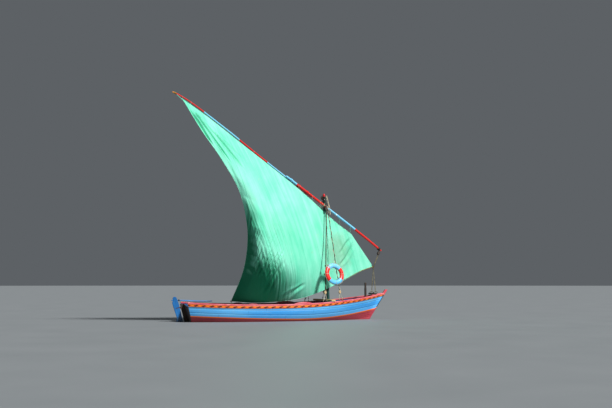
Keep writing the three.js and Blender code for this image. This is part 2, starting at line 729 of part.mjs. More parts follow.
// The head is rounded off. Columns: height, radius.
const mastHead = [
  [4480, 38],
  [MAST.headZ, 14],
];
add(
  hull,
  "mast",
  roundBar(
    [...mastLevels, ...mastHead.map(([z]) => z)].map(mastAt),
    [...mastLevels.map(mastR), ...mastHead.map(([, r]) => r)],
    16,
  ),
  PAINT.green,
);
const STEP = { aft: 1380, fore: 1810, half: 80, thick: 70, spare: 1.5 };
const stepBase = keelTopAt(STEP.fore) + RIB_DEPTH + KEELSON.rise + GAP;
add(
  hull,
  "mast_step",
  cut(
    box(STEP.aft, STEP.fore, -STEP.half, STEP.half, stepBase, stepBase + STEP.thick),
    roundBar([mastAt(MAST.footZ - 60), mastAt(200)], [MAST.footR + STEP.spare, MAST.footR + STEP.spare], 16),
  ),
  OLD_WOOD,
);

// Standing rigging: two shrouds a side, each ending in a block and a lanyard to the gunwale.
// Columns: name, gunwale x, height of the block's centre above the gunwale.
const shrouds = [
  ["aft", 1090, 330],
  ["fore", 1725, 300],
];
const SHROUD_R = 11;
const SHROUD_SHIFT = 15; // each way from the mast's centre
const HOUNDS_Z = 4290;
const OUTSIDE_YARD = 235; // how far the starboard shrouds stand off the mast to clear the yard
const LANYARD = { apart: 70, radius: 7 };
const EYE_UP = 62; // from the block's centre to the shroud's end
// A block's round shape. Columns: distance from its centre, radius.
const blockShape = [
  [-55, 16],
  [-42, 30],
  [0, 38],
  [42, 30],
  [55, 16],
];
for (const [side, sign] of sides) {
  for (const [name, x, blockUp] of shrouds) {
    const foot = V(x, insideY(x, railTop(x) - RAIL_HEIGHT - 15, 0) + 4, railTop(x) + 12);
    const shift = name === "aft" ? -SHROUD_SHIFT : SHROUD_SHIFT;
    const top = mastAt(HOUNDS_Z).add(V(shift, mastR(HOUNDS_Z) + SHROUD_R + 1, 0));
    const bend = side === "starboard"
      ? mastAt(YARD_CROSSING.z).add(V(shift, OUTSIDE_YARD, 0))
      : top.clone().lerp(foot, 0.06);
    const length = foot.distanceTo(bend);
    const upAt = (distance) => foot.clone().lerp(bend, distance / length);
    const rope = roundBar([upAt(blockUp + EYE_UP), bend, top], [SHROUD_R, SHROUD_R, SHROUD_R], 8);
    const block = roundBar(
      blockShape.map(([d]) => upAt(blockUp + d)),
      blockShape.map(([, r]) => r),
      10,
    );
    const lanyards = [-LANYARD.apart, LANYARD.apart].map((d) =>
      roundBar(
        [foot.clone().add(V(d, 0, 0)), upAt(blockUp).add(V(d * 0.1, 0, -20))],
        [LANYARD.radius, LANYARD.radius],
        6,
      ),
    );
    add(hull, `shroud_${side}_${name}`, mirror(rope, sign), TARRED_ROPE);
    add(hull, `shroud_block_${side}_${name}`, mirror(join(block, ...lanyards), sign), BARE_WOOD);
  }
}

// Halyard fall, from the masthead down to the port side abaft the mast.
const HALYARD = { x: 760, y: 420, topZ: 4330, radius: 10 };
const halyardTop = mastAt(HALYARD.topZ).add(V(-mastR(HALYARD.topZ) - 14, 12, 0));
const halyardFoot = V(HALYARD.x, HALYARD.y, thwartZ + THWART_THICK + 5.5);
add(hull, "halyard", roundBar([halyardFoot, halyardTop], [HALYARD.radius, HALYARD.radius], 8), ROPE);

// Lifebuoy, hung flat against the starboard shrouds.
const BUOY = { x: 1490, y: -818, z: 1612, outer: 380, half: 78, thick: 55, turn: 12, lean: 15 };
function lifebuoy() {
  const ring = new THREE.TorusGeometry(BUOY.outer - BUOY.half, BUOY.half, 12, 32);
  ring.scale(1, 1, BUOY.thick / BUOY.half);
  ring.rotateX(Math.PI / 2 - rad(BUOY.lean));
  ring.rotateZ(rad(BUOY.turn));
  return ring.translate(BUOY.x, BUOY.y, BUOY.z);
}
add(hull, "lifebuoy", lifebuoy(), PAINT.red);

// Rudder: a raked blade hung on the sternpost, with its tiller.
const rudder = new THREE.Group();
boat.add(rudder);
const PIN_AHEAD = 20; // from the rudder's fore line to the pins
const BLADE_GAP = 4;
const BLADE_THICK = 44;
const RUDDER_TILT = Math.atan(RUDDER_RAKE);
const hingeX = (z) => rudderLine(z) + PIN_AHEAD;
// The blade's outline. Columns: x behind the fore edge, z.
const blade = [
  [0, -400],
  [0, 655],
  [-20, 700],
  [-20, 800],
  [-60, 838],
  [-128, 826],
  [-158, 790],
  [-170, 700],
  [-205, 660],
  [-212, 560],
  [-180, 150],
  [-250, -60],
  [-330, -250],
  [-300, -400],
];
const bladeOutline = blade.map(([back, z]) => [rudderLine(z) - BLADE_GAP + back, z]);
const bladeBoard = sideBoard(bladeOutline.reverse(), BLADE_THICK);
// The tiller's tongue goes through a mortise in the blade's head.
const TONGUE_Z = 722;
const TONGUE = {
  z: TONGUE_Z,
  aft: rudderLine(TONGUE_Z) - 215,
  fore: rudderLine(TONGUE_Z) + 30,
  high: 18,
  half: 12,
};
const tongue = (spare) =>
  box(
    TONGUE.aft,
    TONGUE.fore,
    -TONGUE.half - spare,
    TONGUE.half + spare,
    TONGUE.z - TONGUE.high - spare,
    TONGUE.z + TONGUE.high + spare,
  );
add(rudder, "rudder_blade", cut(bladeBoard, tongue(GAP)), PAINT.darkBlue);
// The tiller, from the blade's head forward. Columns: x, z, radius.
const tillerLine = [
  [TONGUE.fore - 20, 721, 19],
  [-3500, 706, 22],
  [-3050, 690, 20],
  [-2650, 690, 17],
];
const tillerBar = roundBar(
  tillerLine.map(([x, z]) => V(x, 0, z)),
  tillerLine.map(([, , r]) => r),
  10,
);
add(rudder, "tiller", join(tillerBar, tongue(0)), PAINT.darkBlue);
// Rudder irons, made square to the raked pin line: the gudgeon's arms clasp the post and its eye carries
// the pintle's pin, and the pintle's arms clasp the blade above it. Columns: name, z.
const irons = [
  ["upper", 470],
  ["lower", -150],
];
const PIN_R = 9;
const IRON_THICK = 6.5;
const POST_FACE = (POST_GAP - PIN_AHEAD) * Math.cos(RUDDER_TILT); // from the pin line to the post
const BLADE_FACE = (PIN_AHEAD + BLADE_GAP) * Math.cos(RUDDER_TILT);
const PIN_LOW = -30; // the pin's lower end, and each iron's levels along the pin line
const PIN_SPARE = 1.5;
const GUDGEON = { low: -18, high: 8, eye: 18, arm: 82, neck: 11 };
const PINTLE = { low: 14, high: 32, eye: 16, arm: 130, neck: 10 };
const eye = (radius, low, high, sides = 16) =>
  new THREE.CylinderGeometry(radius, radius, high - low, sides)
    .rotateX(Math.PI / 2)
    .translate(0, 0, (low + high) / 2);
const onPinLine = (geometry, z) => geometry.rotateY(-RUDDER_TILT).translate(hingeX(z), 0, z);
for (const [name, z] of irons) {
  const bladeHalf = BLADE_THICK / 2 + GAP;
  const pintle = cut(
    join(
      eye(PIN_R, PIN_LOW, PINTLE.high, 12),
      eye(PINTLE.eye, PINTLE.low, PINTLE.high),
      box(
        -BLADE_FACE - PINTLE.arm,
        -PINTLE.neck,
        -bladeHalf - IRON_THICK,
        bladeHalf + IRON_THICK,
        PINTLE.low,
        PINTLE.high,
      ),
    ),
    box(
      -BLADE_FACE - PINTLE.arm - 1,
      -BLADE_FACE + GAP,
      -bladeHalf,
      bladeHalf,
      PINTLE.low - 1,
      PINTLE.high + 1,
    ),
  );
  add(rudder, `pintle_${name}`, onPinLine(pintle, z), IRON);
  const postHalf = KEEL_WIDTH / 2 + GAP;
  const gudgeon = cut(
    join(
      eye(GUDGEON.eye, GUDGEON.low, GUDGEON.high),
      box(
        GUDGEON.neck,
        POST_FACE + GUDGEON.arm,
        -postHalf - IRON_THICK,
        postHalf + IRON_THICK,
        GUDGEON.low,
        GUDGEON.high,
      ),
    ),
    box(POST_FACE - GAP, POST_FACE + GUDGEON.arm + 1, -postHalf, postHalf, GUDGEON.low - 1, GUDGEON.high + 1),
    eye(PIN_R + PIN_SPARE, GUDGEON.low - 1, GUDGEON.high + 1, 12),
  );
  add(hull, `gudgeon_${name}`, onPinLine(gudgeon, z), IRON);
}

// Yard: a lower and an upper spar, lashed side by side where they overlap, slung on the mast.
const rig = new THREE.Group();
boat.add(rig);
const plan = V(Math.cos(rad(YARD_PLAN_ANGLE)), Math.sin(rad(YARD_PLAN_ANGLE)), 0);
const acrossYard = V(-plan.y, plan.x, 0); // to port, square to the yard's vertical plane
const crossing = V(YARD_CROSSING.x, YARD_CROSSING.y, YARD_CROSSING.z);
const heel = crossing.clone().addScaledVector(plan, YARD_HEEL.out).add(V(0, 0, -YARD_HEEL.drop));
const peak = crossing.clone().addScaledVector(plan, -YARD_PEAK.out).add(V(0, 0, YARD_PEAK.rise));
const yardAlong = peak.clone().sub(heel).normalize();
const yardUp = acrossYard.clone().cross(yardAlong).normalize();
if (yardUp.z < 0) {
  yardUp.negate();
}
// Bend of the yard above its chord at a share of its length: more along the upper spar.
const YARD_BEND = { lower: 50, upper: 95 };
const yardBend = (s) =>
  (YARD_BEND.lower + YARD_BEND.upper * s * s) * (1 - Math.pow(1 - s, 14)) * (1 - Math.pow(s, 20));
const yardAt = (s) => heel.clone().lerp(peak, s).addScaledVector(yardUp, yardBend(s));
const LAP = { from: 0.37, to: 0.5, apart: 84, fade: 0.25, closes: 0.9 };
// The lower spar. Columns: share of the yard, radius.
const lowerSpar = [
  [0, SPAR_R.heel],
  [0.03, 42],
  [0.1, SPAR_R.lower],
  [0.2, SPAR_R.lower],
  [0.3, SPAR_R.lower],
  [0.4, 43],
  [LAP.to, 36],
];
add(
  rig,
  "yard_lower_spar",
  roundBar(
    lowerSpar.map(([s]) => yardAt(s)),
    lowerSpar.map(([, r]) => r),
    12,
  ),
  PAINT.red,
);
const upperShares = [LAP.from, 0.44, 0.52, 0.6, 0.68, 0.76, 0.84, 0.9, 0.94, 0.97, 1];
const upperShift = (s) => LAP.apart * (1 - clamp((s - LAP.to) / LAP.fade, 0, 1) ** 2 * LAP.closes);
const upperAt = (s) => yardAt(s).addScaledVector(acrossYard, upperShift(s));
const upperRadii = upperShares.map((s) => lerp(SPAR_R.upper, SPAR_R.peak, (s - LAP.from) / (1 - LAP.from)));
add(rig, "yard_upper_spar", roundBar(upperShares.map(upperAt), upperRadii, 12), PAINT.skyBlue);

// Lashings over the lap: an oval band round both spars.
const LASHING = { length: 90, outer: 17, inner: 5, sides: 16 };
function lashing(share) {
  const along = yardAt(share + 0.01).sub(yardAt(share - 0.01)).normalize();
  const mid = yardAt(share).lerp(upperAt(share), 0.5);
  const up = acrossYard.clone().cross(along).normalize();
  const half = LAP.apart / 2;
  const oval = (radius) => {
    const points = [];
    for (let k = 0; k < LASHING.sides; k++) {
      const angle = (2 * Math.PI * (k + 0.5)) / LASHING.sides;
      const shift = Math.cos(angle) > 0 ? half : -half;
      points.push([shift + radius * Math.cos(angle), radius * Math.sin(angle)]);
    }
    return points;
  };
  const ring = (radius, d) =>
    oval(radius).map(([a, b]) =>
      mid.clone().addScaledVector(acrossYard, a).addScaledVector(up, b).addScaledVector(along, d),
    );
  const band = (radius, reach) => loft([ring(radius, -reach), ring(radius, reach)]);
  return cut(
    band(SPAR_R.lower + LASHING.outer, LASHING.length / 2),
    band(SPAR_R.lower + LASHING.inner, LASHING.length),
  );
}
for (const [k, share] of [0.395, 0.435, 0.475].entries()) {
  add(rig, `yard_lashing_${k + 1}`, lashing(share), ROPE);
}

// Parrel: an open rope collar round the mast, its ends against the yard.
const PARREL = { drop: 6, clear: 8, radius: 12, open: 62, steps: 15 }; // open: degrees each side of the yard
function parrel() {
  const centre = mastAt(YARD_CROSSING.z - PARREL.drop);
  const radius = mastR(YARD_CROSSING.z) + PARREL.clear + PARREL.radius;
  const points = Array.from({ length: PARREL.steps }, (_, k) => {
    const angle = rad(-90 + PARREL.open + (360 - 2 * PARREL.open) * (k / (PARREL.steps - 1)));
    return centre.clone().add(V(radius * Math.cos(angle), radius * Math.sin(angle), 0));
  });
  const rings = points.map((point) => {
    const out = point.clone().sub(centre).normalize();
    return Array.from({ length: 8 }, (_, k) => {
      const angle = (2 * Math.PI * k) / 8;
      return point
        .clone()
        .addScaledVector(out, PARREL.radius * Math.cos(angle))
        .add(V(0, 0, PARREL.radius * Math.sin(angle)));
    });
  });
  const seat = SPAR_R.lower + 3 * GAP;
  return cut(loft(rings), roundBar([yardAt(0.2), yardAt(0.36)], [seat, seat], 12));
}
add(rig, "parrel", parrel(), ROPE);

// Sail. Its edges are smooth curves through a few points. s runs from the luff to the leech, t from head to foot.
const curve = (points) => new THREE.CatmullRomCurve3(points, false, "centripetal");
// Head. Columns: share along the yard, drop below the yard's centre line, offset to starboard.
const headTable = [
  [0.17, 285, 30],
  [0.245, 300, 40],
  [0.31, 258, 45],
  [0.37, 190, 45],
  [0.45, 130, 35],
  [0.58, 92, 12],
  [0.72, 84, 0],
  [0.86, 72, 0],
  [0.965, 62, 0],
];
const headCurve = curve(
  headTable.map(([s, drop, side]) => yardAt(s).addScaledVector(acrossYard, -side).add(V(0, 0, -drop))),
);
const luffCorner = headCurve.getPoint(0);
// Foot, from the tack aft to the clew. Columns: x, y, z.
const footCurve = curve(
  [
    [3560, 550, 1907],
    [2990, 375, 1730],
    [2300, 115, 1440],
    [1350, -262, 1086],
    [475, -575, 841],
    [-580, -950, 712],
    [-1450, -860, 676],
    [-2115, -480, 718],
  ].map((p) => V(...p)),
);
// Leech, from the peak down to the clew. Columns: x, y, z.
const peakPoint = headCurve.getPoint(1);
const leechCurve = curve([
  peakPoint,
  ...[
    [-3520, -2000, 6172],
    [-2830, -1920, 5274],
    [-2160, -1740, 4240],
    [-1855, -1500, 3230],
    [-1790, -1280, 2419],
    [-1850, -960, 1640],
    [-2115, -480, 718],
  ].map((p) => V(...p)),
]);
const tack = footCurve.getPoint(0);
const BELLY_WAY = V(0.15, -1, 0).normalize();
// The first share of s covers the short luff, from the tack up to the head's fore corner.
function sailPoint(s, t) {
  const head =
    s < LUFF_SHARE
      ? tack.clone().lerp(luffCorner, s / LUFF_SHARE)
      : headCurve.getPoint((s - LUFF_SHARE) / (1 - LUFF_SHARE));
  const foot = footCurve.getPoint(s);
  const point = head.clone().lerp(foot, t);
  const leechShift = leechCurve.getPoint(t).sub(peakPoint.clone().lerp(footCurve.getPoint(1), t));
  point.addScaledVector(leechShift, Math.pow(s, 3));
  const high = SAIL_BELLY * Math.sin(Math.PI * Math.pow(s, 3.3)) * Math.pow(Math.sin(Math.PI * t), 0.8);
  const aft = clamp((s - LOW_BELLY.from) / (1 - LOW_BELLY.from), 0, 1);
  const low = LOW_BELLY.out * Math.sin(Math.PI * Math.pow(aft, 1.5)) * Math.sin(Math.PI * Math.pow(t, 3));
  return point.addScaledVector(BELLY_WAY, high + low);
}
const SAIL_GRID = { across: 26, down: 16, from: 0.012 }; // it starts just aft of the tack's point
function sail() {
  const { across, down, from } = SAIL_GRID;
  const grid = Array.from({ length: across + 1 }, (_, i) =>
    Array.from({ length: down + 1 }, (_, j) => sailPoint(lerp(from, 1, i / across), j / down)),
  );
  const shift = (side) =>
    grid.map((row, i) =>
      row.map((point, j) => {
        const [i0, i1] = [Math.max(i - 1, 0), Math.min(i + 1, across)];
        const [j0, j1] = [Math.max(j - 1, 0), Math.min(j + 1, down)];
        const normal = grid[i1][j].clone().sub(grid[i0][j]).cross(row[j1].clone().sub(row[j0])).normalize();
        return point.clone().addScaledVector(normal, (side * SAIL_THICK) / 2);
      }),
    );
  return shell(shift(1), shift(-1));
}
add(rig, "sail", sail(), CANVAS);

export default boat;
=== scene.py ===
"""The finish of an open lateen-rigged dhow under sail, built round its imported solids.

Metres, in the boat's own frame: +X to the bow, +Y to port, +Z up, and the water's surface at z = 0."""

import math

import bpy
import numpy as np
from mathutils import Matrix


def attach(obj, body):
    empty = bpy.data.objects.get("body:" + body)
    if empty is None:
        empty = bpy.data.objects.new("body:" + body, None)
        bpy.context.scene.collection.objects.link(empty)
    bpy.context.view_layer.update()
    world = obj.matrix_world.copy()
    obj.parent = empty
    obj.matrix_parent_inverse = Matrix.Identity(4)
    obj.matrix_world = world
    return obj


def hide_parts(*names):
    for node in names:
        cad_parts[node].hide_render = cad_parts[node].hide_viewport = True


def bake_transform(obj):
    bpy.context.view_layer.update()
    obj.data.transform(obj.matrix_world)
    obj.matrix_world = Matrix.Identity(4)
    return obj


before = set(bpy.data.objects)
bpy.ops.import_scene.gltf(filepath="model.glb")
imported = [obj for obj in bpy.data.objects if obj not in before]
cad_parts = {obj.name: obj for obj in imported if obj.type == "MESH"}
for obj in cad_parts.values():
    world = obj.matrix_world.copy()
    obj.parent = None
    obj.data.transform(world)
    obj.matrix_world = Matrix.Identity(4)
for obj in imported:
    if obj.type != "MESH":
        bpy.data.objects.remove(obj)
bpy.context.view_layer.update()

# Camera: a 50 mm lens on a 36 mm sensor, a little above the water, abaft the starboard beam.
CAMERA_AT = np.array([-9.27, -28.53, 1.3])
CAMERA_TURN = math.radians(19.31)  # from +Y towards +X
CAMERA_TILT = math.radians(5.31)  # above level
LENS, SENSOR = 50.0, 36.0
PICTURE = (612, 408)
SUN_TURN = math.radians(62)  # from +X towards -Y
SUN_HEIGHT = math.radians(46)


def place_camera():
    """The photo's view: the lens is turned from +Y and tilted up from level."""
    data = bpy.data.cameras.new("camera")
    data.lens = LENS
    data.sensor_width = SENSOR
    data.clip_end = 1000
    camera = bpy.data.objects.new("camera", data)
    camera.location = CAMERA_AT
    camera.rotation_euler = (math.pi / 2 + CAMERA_TILT, 0, -CAMERA_TURN)
    bpy.context.collection.objects.link(camera)
    bpy.context.scene.camera = camera


def seen_at(points):
    """Where points of the boat stand in the picture, in its pixels from the upper left corner: each one's
    distance aside and up, over its distance ahead."""
    ahead = np.array([math.sin(CAMERA_TURN), math.cos(CAMERA_TURN), math.tan(CAMERA_TILT)])
    ahead = ahead * math.cos(CAMERA_TILT)
    right = np.array([math.cos(CAMERA_TURN), -math.sin(CAMERA_TURN), 0])
    way = points - CAMERA_AT
    scale = PICTURE[0] * LENS / SENSOR / (way @ ahead)
    up = np.cross(right, ahead)
    return np.stack([PICTURE[0] / 2 + way @ right * scale, PICTURE[1] / 2 - way @ up * scale], -1)


def place_lights():
    """A wide soft lamp from ahead, starboard and high, and an even pale surround."""
    lamp = bpy.data.lights.new("key", "SUN")
    lamp.energy = 5.0
    lamp.angle = math.radians(9)
    key = bpy.data.objects.new("key", lamp)
    key.rotation_euler = (0, math.pi / 2 - SUN_HEIGHT, -SUN_TURN)
    bpy.context.collection.objects.link(key)
    world = bpy.data.worlds.new("studio")
    world.use_nodes = True
    surround = world.node_tree.nodes["Background"].inputs
    surround["Color"].default_value = (0.84, 0.92, 1.0, 1)
    surround["Strength"].default_value = 0.13
    bpy.context.scene.world = world
    bpy.context.scene.view_settings.view_transform = "Standard"


place_camera()
place_lights()


# Colours and materials.
def linear(code):
    """A linear RGBA from an sRGB hex colour."""
    c = np.array([int(code[i : i + 2], 16) for i in (1, 3, 5)]) / 255
    c = np.where(c <= 0.04045, c / 12.92, ((c + 0.055) / 1.055) ** 2.4)
    return (*(float(v) for v in c), 1.0)


def add(tree, kind, inputs, out=0, stops=None, **settings):
    """Adds a shader node and returns one of its outputs. inputs are values, hex colours or sockets by name
    or number, stops a colour ramp's stops, and settings the node's own properties."""
    made = tree.nodes.new("ShaderNode" + kind)
    for name, value in settings.items():
        setattr(made, name, value)
    if stops:
        ramp_stops = made.color_ramp.elements
        while len(ramp_stops) < len(stops):
            ramp_stops.new(0.5)
        for stop, (place, colour) in zip(ramp_stops, stops):
            stop.position = place
            stop.color = linear(colour)
    for key, value in inputs.items():
        socket = made.inputs[key]
        if isinstance(value, bpy.types.NodeSocket):
            tree.links.new(value, socket)
        else:
            socket.default_value = linear(value) if isinstance(value, str) else value
    return made.outputs[out]


def material(name, look, roughness, bump, **sockets):
    """A new material. look adds the pattern's nodes to a tree and returns its colour, its relief and its
    wear: roughness runs from its first value to its second with the wear, and bump is the relief's strength
    and height in metres."""
    made = bpy.data.materials.new(name)
    made.use_nodes = True
    tree = made.node_tree
    shader = tree.nodes["Principled BSDF"]
    for key, value in sockets.items():
        shader.inputs[key.replace("_", " ")].default_value = value
    tone, relief, wear = look(tree, tree.nodes.new("ShaderNodeTexCoord").outputs)
    rough = add(tree, "MapRange", {0: wear, 3: roughness[0], 4: roughness[1]})
    normal = add(tree, "Bump", {"Height": relief, "Strength": bump[0], "Distance": bump[1]})
    for socket, value in (("Base Color", tone), ("Roughness", rough), ("Normal", normal)):
        tree.links.new(value, shader.inputs[socket])
    return made


def washed(tree, where, tone, level, deep=0.14):
    """A tone darkened by weed and salt up to a ragged edge about a level."""
    ragged = add(tree, "TexNoise", {"Vector": where["Object"], "Scale": 5.0, "Detail": 4.0})
    height = add(tree, "SeparateXYZ", {0: where["Object"]}, 2)
    edge = add(tree, "Math", {0: ragged, 1: deep, 2: height}, operation="MULTIPLY_ADD")
    low = add(tree, "MapRange", {0: edge, 1: level + deep, 2: level + deep / 3, 3: 0.0, 4: 0.62})
    return add(tree, "Mix", {0: low, 6: tone, 7: "#33351f"}, 2, data_type="RGBA")


BUTTS_APART = 2.3
NAILS_FROM, NAILS_HALF_APART = 0.07, 0.28  # metres to a plank's first rib, and half the way to the next
LINE_SHARE = 0.26  # of the lowest plank's height


def painted_planks(colour, faded, worn, line=None, weed=None):
    """House paint over carvel planks. The UV map's second value counts planks: each takes its own tone, the
    seams and the butts, 2.3 m apart, are dark, and pairs of nail heads 14 mm across stand at every rib.
    line is the colour of a band painted along the lowest plank's lower edge, and weed the height it is
    fouled to."""

    def look(tree, where):
        along = add(tree, "SeparateXYZ", {0: where["UV"]})
        plank = along.node.outputs[1]
        number = add(tree, "Math", {0: plank}, operation="FLOOR")
        own = add(tree, "TexWhiteNoise", {"W": number}, noise_dimensions="1D")
        grain = add(tree, "Mapping", {0: where["Object"], 3: (0.3, 1, 1.6)})
        drift = add(tree, "TexNoise", {"Vector": grain, "Scale": 1.7, "Detail": 5.0})
        share = add(tree, "Math", {0: own, 1: 0.3, 2: drift}, operation="MULTIPLY_ADD")
        share = add(tree, "MapRange", {0: share, 1: 0.45, 2: 0.95})
        tone = add(tree, "Mix", {0: share, 6: colour, 7: faded}, 2, data_type="RGBA")
        streaks = add(tree, "Mapping", {0: where["Object"], 3: (0.07, 1, 1)})
        scuff = add(tree, "TexNoise", {"Vector": streaks, "Scale": 24.0, "Detail": 6.0, "Roughness": 0.72})
        wear = add(tree, "MapRange", {0: scuff, 1: 0.58, 2: 0.7, 4: 0.7})
        tone = add(tree, "Mix", {0: wear, 6: tone, 7: worn}, 2, data_type="RGBA")
        if line:
            low = add(tree, "Math", {0: plank, 1: LINE_SHARE}, operation="LESS_THAN")
            tone = add(tree, "Mix", {0: low, 6: tone, 7: line}, 2, data_type="RGBA")
        to_seam = add(tree, "Math", {0: plank, 1: 0.5}, operation="PINGPONG")
        seam = add(tree, "MapRange", {0: to_seam, 1: 0.045, 2: 0.012})
        shifted = add(tree, "Math", {0: own, 1: BUTTS_APART, 2: along}, operation="MULTIPLY_ADD")
        butt = add(tree, "Math", {0: shifted, 1: BUTTS_APART, 2: 0.0}, operation="WRAP")
        butt = add(tree, "Math", {0: butt, 1: 0.006}, operation="LESS_THAN")
        gap = add(tree, "Math", {0: seam, 1: butt}, operation="MAXIMUM")
        dark = add(tree, "Math", {0: gap, 1: 0.55}, operation="MULTIPLY")
        tone = add(tree, "Mix", {0: dark, 6: tone, 7: "#182530"}, 2, data_type="RGBA")
        if weed is not None:
            tone = washed(tree, where, tone, weed)
        rib = add(tree, "Math", {0: along, 1: NAILS_FROM}, operation="SUBTRACT")
        rib = add(tree, "Math", {0: rib, 1: NAILS_HALF_APART}, operation="PINGPONG")
        pair = add(tree, "Math", {0: to_seam, 1: 0.22}, operation="SUBTRACT")
        pair = add(tree, "Math", {0: pair, 1: 0.127}, operation="MULTIPLY")
        spot = add(tree, "CombineXYZ", {0: rib, 1: pair})
        far = add(tree, "VectorMath", {0: spot}, 1, operation="LENGTH")
        nail = add(tree, "MapRange", {0: far, 1: 0.008, 2: 0.006})
        sunk = add(tree, "Math", {0: gap, 1: nail}, operation="MAXIMUM")
        return tone, add(tree, "Math", {0: sunk, 1: -1.0, 2: scuff}, operation="MULTIPLY_ADD"), wear

    return look


def brushed_paint(colour, faded, under, grain, chips=0.62, weed=None):
    """House paint brushed on hardwood. Brush marks 3 mm apart run with the grain, the tone drifts over a
    third of a metre, and chips that run with the grain too show what lies under it."""

    def look(tree, where):
        drift = add(tree, "TexNoise", {"Vector": where["Object"], "Scale": 3.0, "Detail": 4.0})
        share = add(tree, "MapRange", {0: drift, 1: 0.35, 2: 0.68})
        tone = add(tree, "Mix", {0: share, 6: colour, 7: faded}, 2, data_type="RGBA")
        along = add(tree, "Mapping", {0: where["Object"], 3: grain})
        chip = add(tree, "TexNoise", {"Vector": along, "Scale": 34.0, "Detail": 6.0, "Roughness": 0.7})
        wear = add(tree, "MapRange", {0: chip, 1: chips, 2: chips + 0.03, 4: 0.8})
        tone = add(tree, "Mix", {0: wear, 6: tone, 7: under}, 2, data_type="RGBA")
        if weed is not None:
            tone = washed(tree, where, tone, weed)
        brush = add(tree, "TexNoise", {"Vector": along, "Scale": 330.0, "Detail": 2.0})
        return tone, add(tree, "Math", {0: wear, 1: -1.0, 2: brush}, operation="MULTIPLY_ADD"), wear

    return look


def sawn_timber(light, dark, grain):
    """Sawn hardwood left to the weather: grain lines 8 mm apart run along it, its soft wood has worn lower
    than the hard, and lighter and darker patches drift over it."""

    def look(tree, where):
        along = add(tree, "Mapping", {0: where["Object"], 3: grain})
        lines = add(tree, "TexNoise", {"Vector": along, "Scale": 120.0, "Detail": 5.0, "Roughness": 0.65})
        patch = add(tree, "TexNoise", {"Vector": where["Object"], "Scale": 3.2, "Detail": 3.0})
        share = add(tree, "Math", {0: patch, 1: 0.6, 2: lines}, operation="MULTIPLY_ADD")
        share = add(tree, "MapRange", {0: share, 1: 0.62, 2: 1.0})
        return add(tree, "Mix", {0: share, 6: dark, 7: light}, 2, data_type="RGBA"), lines, patch

    return look


def laid_rope(light, dark):
    """Three-strand rope. The strands are in the mesh; the yarns, drawn 6 mm apart so that they show, cross
    them on a slant, and dirt has settled in patches."""

    def look(tree, where):
        along = add(tree, "SeparateXYZ", {0: where["UV"]})
        slant = add(tree, "Math", {0: along, 1: along.node.outputs[1]}, operation="ADD")
        yarn = add(tree, "Math", {0: slant, 1: 1000.0}, operation="MULTIPLY")
        yarn = add(tree, "Math", {0: yarn}, operation="SINE")
        drift = add(tree, "TexNoise", {"Vector": where["Object"], "Scale": 11.0, "Detail": 4.0})
        share = add(tree, "Math", {0: yarn, 1: 0.1, 2: drift}, operation="MULTIPLY_ADD")
        share = add(tree, "MapRange", {0: share, 1: 0.32, 2: 0.66})
        return add(tree, "Mix", {0: share, 6: dark, 7: light}, 2, data_type="RGBA"), yarn, drift

    return look


LOZENGE_APART = 0.26
LOZENGE_LONG, LOZENGE_HIGH = 0.19, 0.85  # metres, and a share of the strake's height
LOZENGE_SLANT = 0.09


def lozenges(tree, where):
    """Orange paint, ochre where it has faded, with dark-brown lozenges. A point is inside one where its
    distance along over the half-length, added to its distance up over the half-height, is under one."""
    along = add(tree, "SeparateXYZ", {0: where["UV"]})
    up = add(tree, "Math", {0: along.node.outputs[1], 1: 0.5}, operation="SUBTRACT")
    slanted = add(tree, "Math", {0: up, 1: -LOZENGE_SLANT, 2: along}, operation="MULTIPLY_ADD")
    aside = add(tree, "Math", {0: slanted, 1: LOZENGE_APART / 2}, operation="PINGPONG")
    far = add(tree, "Math", {0: up}, operation="ABSOLUTE")
    far = add(tree, "Math", {0: far, 1: 2 / LOZENGE_HIGH}, operation="MULTIPLY")
    far = add(tree, "Math", {0: aside, 1: 2 / LOZENGE_LONG, 2: far}, operation="MULTIPLY_ADD")
    ragged = add(tree, "TexNoise", {"Vector": where["Object"], "Scale": 14.0, "Detail": 3.0})
    far = add(tree, "Math", {0: ragged, 1: 0.35, 2: far}, operation="MULTIPLY_ADD")
    inside = add(tree, "MapRange", {0: far, 1: 1.2, 2: 1.12})
    orange = add(tree, "Mix", {0: ragged, 6: "#e8540c", 7: "#fb8f1c"}, 2, data_type="RGBA")
    brown = add(tree, "Mix", {0: ragged, 6: "#2c0e02", 7: "#74260c"}, 2, data_type="RGBA")
    tone = add(tree, "Mix", {0: inside, 6: orange, 7: brown}, 2, data_type="RGBA")
    streaks = add(tree, "Mapping", {0: where["Object"], 3: (0.2, 1, 1)})
    scuff = add(tree, "TexNoise", {"Vector": streaks, "Scale": 40.0, "Detail": 6.0, "Roughness": 0.7})
    wear = add(tree, "MapRange", {0: scuff, 1: 0.62, 2: 0.68, 4: 0.75})
    return add(tree, "Mix", {0: wear, 6: tone, 7: "#5b4330"}, 2, data_type="RGBA"), scuff, wear


YARD_RED, YARD_BLUE = "#e0271f", "#7fd2f2"
YARD_BANDS = [  # share of the yard's length from the heel, colour
    (0.0, YARD_RED),
    (0.1465, YARD_BLUE),
    (0.2435, "#e2f4f8"),
    (0.2475, YARD_BLUE),
    (0.2925, YARD_RED),
    (0.448, YARD_BLUE),
    (0.584, YARD_RED),
    (0.7185, YARD_BLUE),
    (0.875, YARD_RED),
    (0.987, "#d9892f"),
]


